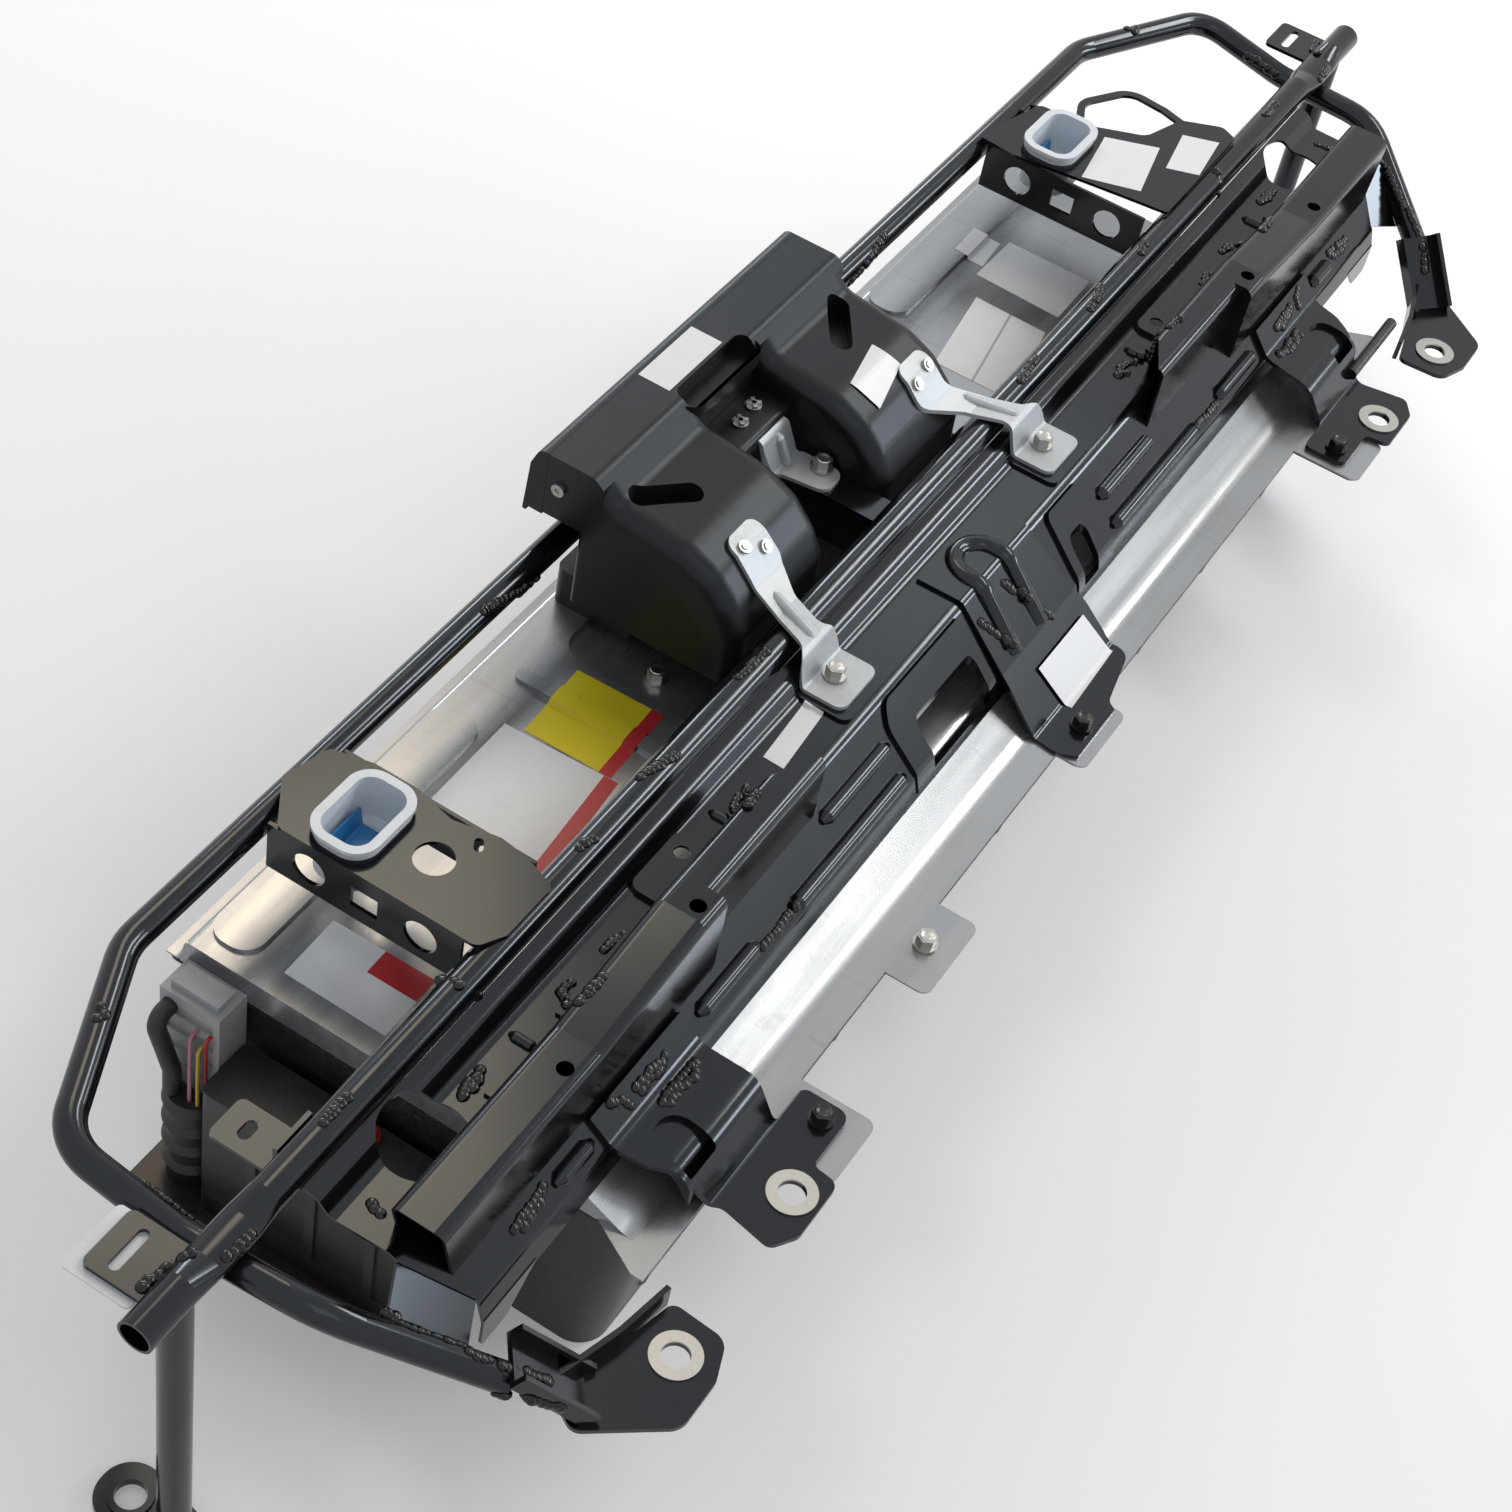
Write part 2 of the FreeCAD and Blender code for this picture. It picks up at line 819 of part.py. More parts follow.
def member_height(y):
    """Height of the member's top at a place in front of the tube."""
    line = member_line()
    for (y_rear, z_rear), (y_front, z_front) in zip(line, line[1:]):
        if y_front <= y <= y_rear:
            return z_rear + (z_front - z_rear) * (y - y_rear) / (y_front - y_rear)
    return line[-1][1]


def face_bead(first, last, y, radius):
    """Ridge along X that stands out of the member's sloping face."""
    z = member_height(y)
    return bead_rod(Vector(first, y, z), Vector(last, y, z), radius)


def dished(shape, outline, top, depth, sheet_thickness, corner):
    """Press a flat-bottomed pan down into a level sheet."""
    low = top - depth - sheet_thickness
    shape = shape.fuse(plan_prism(outline, low, top, corner))
    hollow = shrunk(outline, sheet_thickness)
    return shape.cut(plan_prism(hollow, top - depth, top + 20, max(corner - sheet_thickness, 0.5)))


def raised_pad(shape, outline, top, height, wall, corner):
    """Press a flat-topped pad up out of a level sheet."""
    shape = shape.fuse(plan_prism(outline, top - wall, top + height, corner))
    return shape.cut(plan_prism(shrunk(outline, wall), top - 20, top + height - wall, corner - wall))


def face_slab(outline, low, high, corners):
    """Part of the layer between two heights over the member's sloping face."""
    face = member_line()[3:]
    top = [(y, z + high) for y, z in face]
    slab = bent_sheet(top, high - low, [1, size("member_bend"), 1], -300, 300)
    return slab.common(plan_prism(outline, -140, 20, corners))


def make_front_member(cross_space):
    half = size("member_half")
    thickness = size("member_sheet")
    band = -size("band_drop")
    shape = bent_sheet(member_line(), thickness, size("member_bend"), -half, half)
    bead = size("bead_radius")
    # Two long stiffening beads on each open bay of the sloping face
    bays = []
    start = size("step_outer") + 2 * bead
    pan = size("pan_inner")
    low_bead = size("member_bead_low")
    for side in (-1, 1):
        for y, last in ((-89, pan - 25), (-75, size("rail_inner") - 8)):
            bays.append((side * start, side * last, y))
        bays.append((side * (pan + 19), side * (pan + 67), -87))
        bays.append((side * (low_bead - 22), side * low_bead, -87))
    for first, last, y in bays:
        shape = shape.fuse(face_bead(first, last, y, bead))
    for first, last, y in bays:
        shape = shape.cut(face_bead(first, last, y, bead - thickness))
    # Cross ribs over the band
    ribs = (pan - 22, size("member_hole_place") - 75)
    for place in (-ribs[1], -ribs[0], ribs[0], ribs[1]):
        start = Vector(place, -size("band_rear") - 8, band)
        end = Vector(place, -size("rail_rear") + 7, band)
        shape = shape.fuse(bead_rod(start, end, 3.2)).cut(bead_rod(start, end, 3.2 - thickness))
    # Square pads with a bolt hole
    for side in (-1, 1):
        outline = either_side(
            plan_box(-size("pan_outer"), -size("pan_inner"), -size("pan_front"), -size("pan_rear")), side)
        shape = raised_pad(shape, outline, band, size("pan_height"), thickness, 7)
        hole = Vector(side * size("pan_hole_place"), -size("pan_hole_reach"), band - 20)
        shape = shape.cut(rod(hole, hole + Vector(0, 0, 30), size("pan_hole")))
    # Raised pads that carry the duct's outer straps
    for side in (-1, 1):
        place = side * size("strap_bolt_place")
        raised = band + size("pad_height")
        pad_plan = plan_box(place - 24, place + 24, -56, -21)
        shape = raised_pad(shape, pad_plan, band, size("pad_height"), thickness, 6)
        shape = shape.cut(plan_prism(plan_box(place - 24, place + 24, -60, -21), raised, raised + 20))
        hole = Vector(place, -size("strap_bolt_reach"), band - 20)
        shape = shape.cut(rod(hole, hole + Vector(0, 0, 30), size("bolt_hole")))
    # Round openings near the ends
    for side in (-1, 1):
        low = Vector(side * size("member_hole_place"), -34, -60)
        shape = shape.cut(rod(low, low + Vector(0, 0, 80), size("member_hole")))
    # Raised steps in the face beside the saddle; the left one's bay is sunk, the right one's open
    step = size("step_height")
    for side, inner in ((-1, size("saddle_left")), (1, size("saddle_right") + 14)):
        inner += size("step_gap")
        outer = size("step_outer")
        outline = [(inner, -130), (inner, -63), (outer - 8, -63), (outer, -72), (outer - 6, -130)]
        bay = [(inner + 8, -130), (inner + 8, -77), (outer - 20, -77), (outer - 26, -130)]
        if side < 0:
            outline, bay = [[(-x, y) for x, y in line] for line in (outline, bay)]
        else:
            outline, bay = outline[::-1], bay[::-1]
        corners = [0, 4, 9, 9, 0] if side < 0 else [0, 9, 9, 4, 0]
        hollow = shrunk(outline, thickness)
        inside = [max(corner - 2, 0) for corner in corners]
        bay_floor = shrunk(bay, -thickness)
        shape = shape.fuse(face_slab(outline, -thickness, step, corners))
        shape = shape.cut(face_slab(hollow, -20, step - thickness, inside))
        shape = shape.fuse(face_slab(bay_floor, -thickness, step - thickness, 8))
        shape = shape.cut(face_slab(bay, 0 if side < 0 else -20, step + 5, 6))
    # Lower wing at each end of the lip
    end = size("end_place")
    lip = -size("lip_reach")
    low = -size("wing_drop")
    high = -size("lip_drop") + 2
    for side in (-1, 1):
        wing = [(end, high), (end - 43, high), (end - 21, low), (end, low)]
        face = flat_face([Vector(side * x, lip, z) for x, z in wing], [0, 0, 4, 4])
        shape = shape.fuse(face.extrude(Vector(0, thickness, 0)))
    # Ends trimmed to the tubes and tapered in plan
    shoulder, reach = member_end()
    taper = [(-half, 0), shoulder, reach, (reach[0], -120), (-reach[0], -120), (-reach[0], reach[1]),
             (-shoulder[0], shoulder[1]), (half, 0)]
    shape = shape.common(plan_prism(taper, -100, 20))
    shape = shape.cut(cross_space)
    keep("front_member", shape.removeSplitter())


def member_end():
    """Plan corners of the member's slanted left end."""
    return (-size("member_half") + 2, -size("band_front") - 3), (-size("end_place"), -size("end_reach"))


def make_gussets(loop_space):
    """Sloping plates that close the corner between the member and the tail."""
    gap = size("seat_gap")
    thickness = size("gusset_sheet")
    (x_high, y_high), (x_low, y_low) = member_end()
    reach = Vector(-27, -13.7, -8)
    upper = Vector(x_high - gap - 0.1, y_high - 0.2, member_height(y_high) - 1)
    lower = Vector(x_low - gap - 0.1, y_low - 0.2, member_height(y_low) - 1)
    normal = (lower - upper).cross(reach).normalize()
    face = flat_face([upper, lower, lower + reach, upper + reach])
    plate = face.extrude(normal * (thickness if normal.z < 0 else -thickness))
    keep_pair("gusset", largest(plate.cut(loop_space)))


# Rails


def make_rails():
    """Pressed channels on the member, lower towards their outer ends."""
    base = "-face_drop"
    for name, side in SIDES:
        body = new_body(name + "_rail")
        outline = [
            (outward(side, "rail_inner"), base),
            (outward(side, "rail_outer - rail_foot_slant"), base),
            (outward(side, "rail_outer"), "rail_low_top"),
            (outward(side, "rail_ramp_end"), "rail_low_top"),
            (outward(side, "rail_ramp_start"), "rail_top"),
            (outward(side, "rail_inner"), "rail_top"),
        ]
        pad(body, outline_sketch(body, "XZ_Plane", outline, "rail_rear"), "rail_front - rail_rear")
        neck_cut = [
            (outward(side, "rail_inner - 5"), "-rail_front - 1"),
            (outward(side, "rail_neck_end"), "-rail_front - 1"),
            (outward(side, "rail_neck_end"), "-rail_neck_front"),
            (outward(side, "rail_inner - 5"), "-rail_neck_front"),
        ]
        pocket(body, outline_sketch(body, "XY_Plane", neck_cut, "rail_top + 1"), "rail_top + face_drop + 2")
        rear = -size("rail_rear")
        fronts = (-size("rail_front"), -size("rail_neck_front"))
        low = size("rail_low_top")
        round_top(body, "rail_round", lambda point: point.z > low - 0.1 and (
            abs(point.y - rear) < 0.01 or min(abs(point.y - front) for front in fronts) < 0.01))
        hollow = [
            (outward(side, "rail_inner - 5"), "-face_drop - 5"),
            (outward(side, "rail_outer + 5"), "-face_drop - 5"),
            (outward(side, "rail_outer + 5"), "rail_low_top - rail_sheet"),
            (outward(side, "rail_ramp_end"), "rail_low_top - rail_sheet"),
            (outward(side, "rail_ramp_start"), "rail_top - rail_sheet"),
            (outward(side, "rail_inner - 5"), "rail_top - rail_sheet"),
        ]
        pocket(body, outline_sketch(body, "XZ_Plane", hollow, "rail_neck_front - rail_sheet"),
               "rail_neck_front - rail_rear - 2 * rail_sheet")
        wide = [
            (outward(side, "rail_neck_end + rail_sheet"), "-face_drop - 5"),
            (outward(side, "rail_outer + 5"), "-face_drop - 5"),
            (outward(side, "rail_outer + 5"), "rail_low_top - rail_sheet"),
            (outward(side, "rail_ramp_end"), "rail_low_top - rail_sheet"),
            (outward(side, "rail_ramp_start"), "rail_top - rail_sheet"),
            (outward(side, "rail_neck_end + rail_sheet"), "rail_top - rail_sheet"),
        ]
        pocket(body, outline_sketch(body, "XZ_Plane", wide, "rail_front - rail_sheet"),
               "rail_front - rail_neck_front + 1")
        inner_low = size("rail_low_top - rail_sheet")
        wall = size("rail_sheet")
        round_top(body, "rail_round - rail_sheet", lambda point: point.z > inner_low - 0.1 and (
            abs(point.y - rear + wall) < 0.01 or min(abs(point.y - front - wall) for front in fronts) < 0.01))
        # Walls end on the member's band and on its sloping face
        slope = "(face_drop - band_drop) / (face_reach - band_front)"
        below = [
            ("-rail_rear + 5", "-band_drop + seat_gap"),
            ("-band_front", "-band_drop + seat_gap"),
            ("-rail_front - 5", f"-band_drop + 2 * seat_gap - (rail_front + 5 - band_front) * {slope}"),
            ("-rail_front - 5", "-face_drop - 20"),
            ("-rail_rear + 5", "-face_drop - 20"),
        ]
        start = "rail_outer + 10" if side == "1" else "-rail_inner + 10"
        pocket(body, outline_sketch(body, "YZ_Plane", below, start), "rail_outer - rail_inner + 20")
        # Weld tabs along the rear wall
        for first, last in (("rail_inner + 50", "rail_inner + 62"), ("pan_outer + 12", "rail_ramp_end - 20"),
                            ("rail_outer - 116", "rail_outer - 88")):
            tab = [
                (outward(side, first), "-rail_rear - rail_sheet"),
                (outward(side, last), "-rail_rear - rail_sheet"),
                (outward(side, last), "-rail_rear + rail_flange"),
                (outward(side, first), "-rail_rear + rail_flange"),
            ]
            pad(body, outline_sketch(body, "XY_Plane", tab, "-band_drop + seat_gap"), "rail_sheet")
        # The inner end is cut slantwise
        corner = [
            (outward(side, "rail_inner - 2"), "-rail_neck_front + 4"),
            (outward(side, "rail_inner + rail_end_slant"), "-rail_rear + 1"),
            (outward(side, "rail_inner - 2"), "-rail_rear + 1"),
        ]
        pocket(body, outline_sketch(body, "XY_Plane", corner, "rail_top + 1"), "rail_top + band_drop + 1")
        centres = []
        for place in ("rail_hole_near", "rail_hole_far"):
            centres.append((outward(side, place), "-rail_hole_reach"))
        pocket(body, circle_sketch(body, "XY_Plane", centres, "rail_hole", "rail_top + 1"), "rail_top + 1")
        seat(body, body.Name)


# Saddle bracket


SADDLE_BEAD_PLACE = 12


def make_saddle():
    gap = size("seat_gap")
    thickness = size("saddle_sheet")
    lift = gap + thickness
    flange = -size("flange_drop") + size("cover_sheet") + gap
    line = [
        (-size("band_rear") - 5, -size("band_drop") + lift),
        (-size("band_front") - 1, -size("band_drop") + lift),
        (-size("face_reach") - 1.5, -size("face_drop") + lift + 1),
        (-size("cover_front") - size("cover_slope_run") - 6, flange + thickness),
        (-size("saddle_reach"), flange + thickness),
    ]
    left = -size("saddle_left")
    right = size("saddle_right")
    body = bent_sheet(line, thickness, 4, left - 10, right + 20)
    tab = size("saddle_tab_width") / 2
    outline = [
        (left, -20),
        (left + 1, -100),
        (-tab - 6, -140),
        (-tab, -size("saddle_reach") - 2),
        (tab, -size("saddle_reach") - 2),
        (tab + 6, -147),
        (right + 16, -size("saddle_bolt_reach") + 5),
        (right + 14, -size("face_reach") - 10),
        (right, -66),
        (right, -20),
    ]
    body = body.common(plan_prism(outline, -100, 20, [5, 5, 10, 8, 8, 8, 10, 8, 8, 5]))
    # Hairpin bead that runs down the middle of the saddle
    near = SADDLE_BEAD_PLACE - size("saddle_bead_half")
    far = SADDLE_BEAD_PLACE + size("saddle_bead_half")
    crest = line[1][1] - 1.5
    knee = line[1][0] - 1
    foot = line[2][0] + 4
    bead_line = [Vector(near, foot, line[2][1] + 1), Vector(near, knee, crest), Vector(near, -37, crest),
                 Vector(far, -37, crest), Vector(far, knee, crest), Vector(far, foot, line[2][1] + 1)]
    turn = size("saddle_bead_half") - 0.5
    bead = size("saddle_bead")
    body = body.fuse(swept_rod(bead_line, [0, 12, turn, turn, 12, 0], bead))
    body = body.cut(swept_rod(bead_line, [0, 12, turn, turn, 12, 0], bead - 2 * thickness))
    under = under_sheet(line, thickness, 4, left - 10, right + 20)
    body = body.cut(under)
    hole = Vector(0, -143, -100)
    body = body.cut(rod(hole, hole + Vector(0, 0, 60), size("bolt_hole")))
    keep("centre_bracket", body.removeSplitter())


# Feet


def pin_rod(clearance):
    """Locating pin that stands out sideways at the right foot."""
    start = Vector(size("pin_root"), -size("pin_reach"), -size("pin_drop"))
    return rod(start, start + Vector(size("pin_length"), 0, 0), size("pin_outer") + 2 * clearance)


def foot_top():
    """Top of a foot plate that lies on the cover's flange."""
    return -size("flange_drop") + size("cover_sheet") + size("seat_gap") + size("foot_sheet")


def make_mid_feet():
    gap = size("seat_gap")
    thickness = size("foot_sheet")
    inner = size("mid_foot_inner")
    outer = size("mid_foot_outer")
    reach = size("mid_foot_reach")
    raised = foot_top()
    crown = -size("face_drop") - 2
    slope = member_line()[3:5]
    high, low = beside([(-80, member_height(-80)), slope[1]], -(gap + thickness))
    line = [
        high,
        low,
        (-130, crown),
        (-145, raised),
        (-reach - 4, raised),
    ]
    bend = size("foot_bend")
    bends = [bend, 4 * bend, 5 * bend, bend, bend]
    body = bent_sheet(line, thickness, bends, -outer - 40, -inner)
    outline = [
        (-outer - 20, -76),
        (-outer - 14, -114),
        (-outer + 6, -150),
        (-outer, -reach + 8),
        (-outer + 14, -reach - 1),
        (-outer + 52, -reach - 1),
        (-outer + 54, -reach + 15),
        (-inner, -reach + 15),
        (-inner, -145),
        (-inner - 28, -145),
        (-inner - 26, -128),
        (-inner - 30, -76),
    ]
    radii = [5, 14, 8, 6, 8, 6, 4, 7, 5, 3, 8, 5]
    body = body.common(plan_prism(outline, -120, 20, radii))
    # Arched hollow pressed into the raised block, open at its foot
    sunk = size("foot_hollow")
    arch = plan_box(-outer - 6, -outer + 25, -137, -102)
    skin = bent_sheet(line, thickness + sunk, bends, -outer - 20, -inner)
    body = body.fuse(skin.common(plan_prism(arch, -120, 20, [2, 2, 15, 15])))
    above = bent_sheet([(y, z + 5) for y, z in line], sunk + 5, bends, -outer - 20, -inner)
    body = body.cut(above.common(plan_prism(shrunk(arch, thickness), -120, 20, [2, 2, 12, 12])))
    hole = Vector(-size("mid_hole_place"), -size("mid_hole_reach"), -120)
    body = body.cut(rod(hole, hole + Vector(0, 0, 80), size("foot_hole")))
    bolt = Vector(-size("foot_bolt_place"), -size("foot_bolt_reach"), -120)
    body = body.cut(rod(bolt, bolt + Vector(0, 0, 80), size("bolt_hole")))
    body = largest(body).removeSplitter()
    keep("left_mid_foot", body)
    keep("right_mid_foot", mirrored(body).cut(pin_rod(size("seat_gap"))))
    keep("locator_pin", pin_rod(0))


def make_corner_feet(loop_space):
    thickness = size("foot_sheet")
    base = -size("flange_drop") - size("corner_foot_step")
    tail = -size("tail_place")
    outline = [
        (tail + 94, -158),
        (tail + 92, -190),
        (tail + 70, -size("corner_foot_reach")),
        (tail + 40, -size("corner_foot_reach")),
        (tail + 8, -157),
        (tail + 19, -138),
        (tail + 60, -150),
    ]
    plate = plan_prism(outline, base - thickness, base, [6, 10, 8, 12, 8, 6, 6])
    hole = Vector(-size("corner_hole_place"), -size("corner_hole_reach"), -120)
    plate = plate.cut(rod(hole, hole + Vector(0, 0, 80), size("foot_hole")))
    # Upright flange along the two rear edges
    low = base - thickness
    corners = [Vector(tail + 93, -156, low), Vector(tail + 60, -150.4, low), Vector(tail + 22, -139.5, low)]
    for start, end in zip(corners, corners[1:]):
        run = end - start
        wall = Part.makeBox(run.Length, thickness, 15)
        angle = math.degrees(math.atan2(-run.y, -run.x))
        wall.Placement = FreeCAD.Placement(end, FreeCAD.Rotation(Vector(0, 0, 1), angle))
        plate = plate.fuse(wall)
    # Channel that climbs from the plate to the tube's tail
    root = Vector(tail + 26, -size("tail_reach") - 28, low)
    head = Vector(tail + 4, -size("tail_reach") + 3, -size("tail_drop") + 8)
    climb = head - root
    across = climb.cross(Vector(0.5, -0.6, 0.6)).normalize()
    out = across.cross(climb).normalize()
    half = size("corner_channel") / 2
    depth = 10
    inner = half - thickness
    section = [(-half, 0), (half, 0), (half, depth), (inner, depth), (inner, thickness),
               (-inner, thickness), (-inner, depth), (-half, depth)]
    points = [root + across * u + out * v for u, v in section]
    channel = flat_face(points).extrude(climb)
    floor = plan_prism(plan_box(tail - 140, tail + 160, -300, 0), -200, low)
    plate = plate.fuse(channel.cut(floor)).cut(loop_space)
    keep_pair("corner_foot", largest(plate).removeSplitter())


def largest(shape):
    """The one solid that matters after a coping cut."""
    return max(shape.Solids, key=lambda solid: solid.Volume)


def make_foot_rings():
    """Bare bearing rings round the four foot holes."""
    corner = -size("flange_drop") - size("corner_foot_step")
    places = []
    for side in (-1, 1):
        places.append((side * size("mid_hole_place"), -size("mid_hole_reach"), foot_top()))
        places.append((side * size("corner_hole_place"), -size("corner_hole_reach"), corner))
    ring = Part.makeCylinder(size("ring_outer") / 2, size("ring_height"))
    ring = ring.cut(Part.makeCylinder(size("foot_hole") / 2, size("ring_height")))
    keep("foot_rings", copies(ring, places))


# Cup brackets


def make_cup_brackets(cross_space, loop_space):
    low = size("tube_outer") / 2 + size("seat_gap")
    thickness = size("cup_bracket_sheet")
    inner = size("cup_bracket_inner")
    outer = size("cup_bracket_outer")
    rear = size("rear_tube_reach")
    wall_low = low + thickness - size("cup_bracket_wall")
    plain = [
        (-outer, 124), (-outer, 4), (-outer + 15, -4), (-inner - 10, -4), (-inner - 2, 18), (-inner, 34),
        (-inner - 6, 60), (-inner, 86), (-inner, 112), (-inner - 6, rear - 4), (-inner - 36, rear + 3),
    ]
    plain_radii = [6, 6, 5, 5, 3, 5, 8, 8, 6, 6, 6]
    wing = size("wing_place")
    winged = [
        (-outer, 124), (-outer, 92), (-outer - 20, size("wing_reach") + 2),
        (-wing + 14, size("wing_reach") - 8),
        (-wing, 16), (-wing + 6, 4), (-outer + 15, 3), (-inner - 16, 3), (-inner - 12, 34),
        (-inner - 8, 62), (-inner, 110), (-inner - 2, rear - 1), (-inner - 32, rear - 8),
    ]
    winged_radii = [6, 4, 12, 6, 6, 4, 3, 3, 4, 6, 6, 4, 6]
    cup = cup_outline(size("seat_gap") + 0.4)
    kinds = (("left", plain, plain_radii, False), ("right", winged, winged_radii, True))
    for name, outline, radii, flip in kinds:
        plate = plan_prism(outline, low, low + thickness, radii)
        walls = []
        for x in (-outer, -inner - thickness):
            wall = box_between((x, 12, wall_low), (x + thickness, rear - 10, low + 0.5))
            holes = [Vector(x - 1, y, (wall_low + low) / 2) for y in (36, 104)]
            for start in holes:
                wall = wall.cut(rod(start, start + Vector(thickness + 2, 0, 0), size("light_hole") - 2))
            window = box_between((x - 1, 62, wall_low + 9), (x + thickness + 1, 78, low - 9))
            walls.append(wall.cut(window))
        shape = plate.fuse(walls)
        shape = shape.cut(plan_prism(cup, low - 60, low + 20, size("cup_corner")))
        if not flip:
            hole = Vector(-size("cup_place") + 2, 52, low - 5)
            shape = shape.cut(rod(hole, hole + Vector(0, 0, 20), size("light_hole")))
            slot = slot_outline((-size("cup_place") + 23, 40), (1, 0.6), 9, 5)
            shape = shape.cut(plan_prism(slot, low - 5, low + 20, 2.4))
        shape = shape.cut(cross_space).cut(loop_space)
        shape = largest(shape).removeSplitter()
        if flip:
            # Open hook of flat bar round the wide hole beside the cup
            hook = [Vector(-outer + 1, 93, low), Vector(-outer - 24, 104, low), Vector(-outer - 60, 84, low),
                    Vector(-outer - 57, 56, low), Vector(-outer - 52, 40, low)]
            band = rounded_edges(hook, [0, 16, 16, 10, 0], False)
            corners = ((90, low), (96, low), (96, low + thickness), (90, low + thickness))
            profile = flat_face([Vector(-outer + 1, y, z) for y, z in corners])
            bar = Part.Wire(band).makePipeShell([profile.OuterWire], True, True)
            shape = mirrored(shape.fuse(bar).removeSplitter())
        keep(name + "_cup_bracket", shape)


# Cushion hook sockets


def cup_outline(extra):
    """Plan corners of the socket's body, widened by a clearance."""
    x = size("cup_place")
    y = size("cup_reach")
    half_length = size("cup_length") / 2 + extra
    half_width = size("cup_width") / 2 + extra
    return [
        (-x - half_length, y - half_width),
        (-x + half_length, y - half_width),
        (-x + half_length, y + half_width),
        (-x - half_length, y + half_width),
    ]


def make_cups():
    low = size("tube_outer") / 2 + size("seat_gap") + size("cup_bracket_sheet")
    top = low + size("cup_rim_height")
    bottom = top - size("cup_depth")
    wall = size("cup_wall")
    corner = size("cup_corner")
    rim = size("cup_rim")
    body = plan_prism(cup_outline(0), bottom, top, corner)
    body = body.fuse(plan_prism(cup_outline(rim), top - 2.4, top, corner + rim))
    body = body.fuse(plan_prism(cup_outline(rim - 1), low + size("seat_gap"), low + 2, corner + rim))
    body = body.cut(plan_prism(cup_outline(-wall), bottom + wall, top + 5, corner - wall))
    body = body.cut(plan_prism(cup_outline(-wall - 6), bottom - 1, top, corner - wall - 5))
    keep_pair("cushion_socket", body.removeSplitter())
    # Spring clip across the bottom of each socket
    x = size("cup_place")
    y = size("cup_reach")
    half = size("cup_length") / 2 - wall - 0.3
    clip_low = bottom + wall + size("seat_gap")
    sheet_size = size("clip_sheet")
    line = [
        (y - 12, clip_low + 12),
        (y - 10, clip_low),
        (y + 10, clip_low),
        (y + 12, clip_low + 12),
    ]
    clip = bent_sheet(line, sheet_size, 1.5, -x - half + 9, -x + half - 9)
    keep_pair("socket_clip", clip)


# Battery cover


def plan_box(x_low, x_high, y_low, y_high):
    return [(x_low, y_low), (x_high, y_low), (x_high, y_high), (x_low, y_high)]


def either_side(outline, side):
    """Outline on the left or, mirrored and turned anticlockwise, on the right."""
    if side < 0:
        return outline
    return [(-x, y) for x, y in outline][::-1]


def embossed(shape, outline, corner):
    """Raise a panel out of the cover's top sheet."""
    top = -size("cover_top")
    wall = size("cover_sheet")
    height = size("emboss_height")
    shape = shape.fuse(plan_prism(outline, top - wall, top + height, corner))
    return shape.cut(plan_prism(shrunk(outline, wall), top - wall - 5, top + height - wall, corner - wall))


def cover_tabs():
    """Place, width and reach of each tab that stands out of the front flange."""
    tabs = [(0, 56, size("saddle_reach") + 7), (-size("tab_bolt_place"), 60, size("tab_bolt_reach") + 18)]
    for side in (-1, 1):
        tabs.append((side * (size("foot_bolt_place") + 5), 46, size("foot_bolt_reach") + 24))
    return tabs


def front_bolts():
    """Plan places of the bolts along the front flange."""
    places = [(0, -size("saddle_bolt_reach")), (-size("tab_bolt_place"), -size("tab_bolt_reach"))]
    for side in (-1, 1):
        places.append((side * size("foot_bolt_place"), -size("foot_bolt_reach")))
    return places


def drilled(shape, places, diameter):
    for x, y in places:
        start = Vector(x, y, -120)
        shape = shape.cut(rod(start, start + Vector(0, 0, 80), diameter))
    return shape


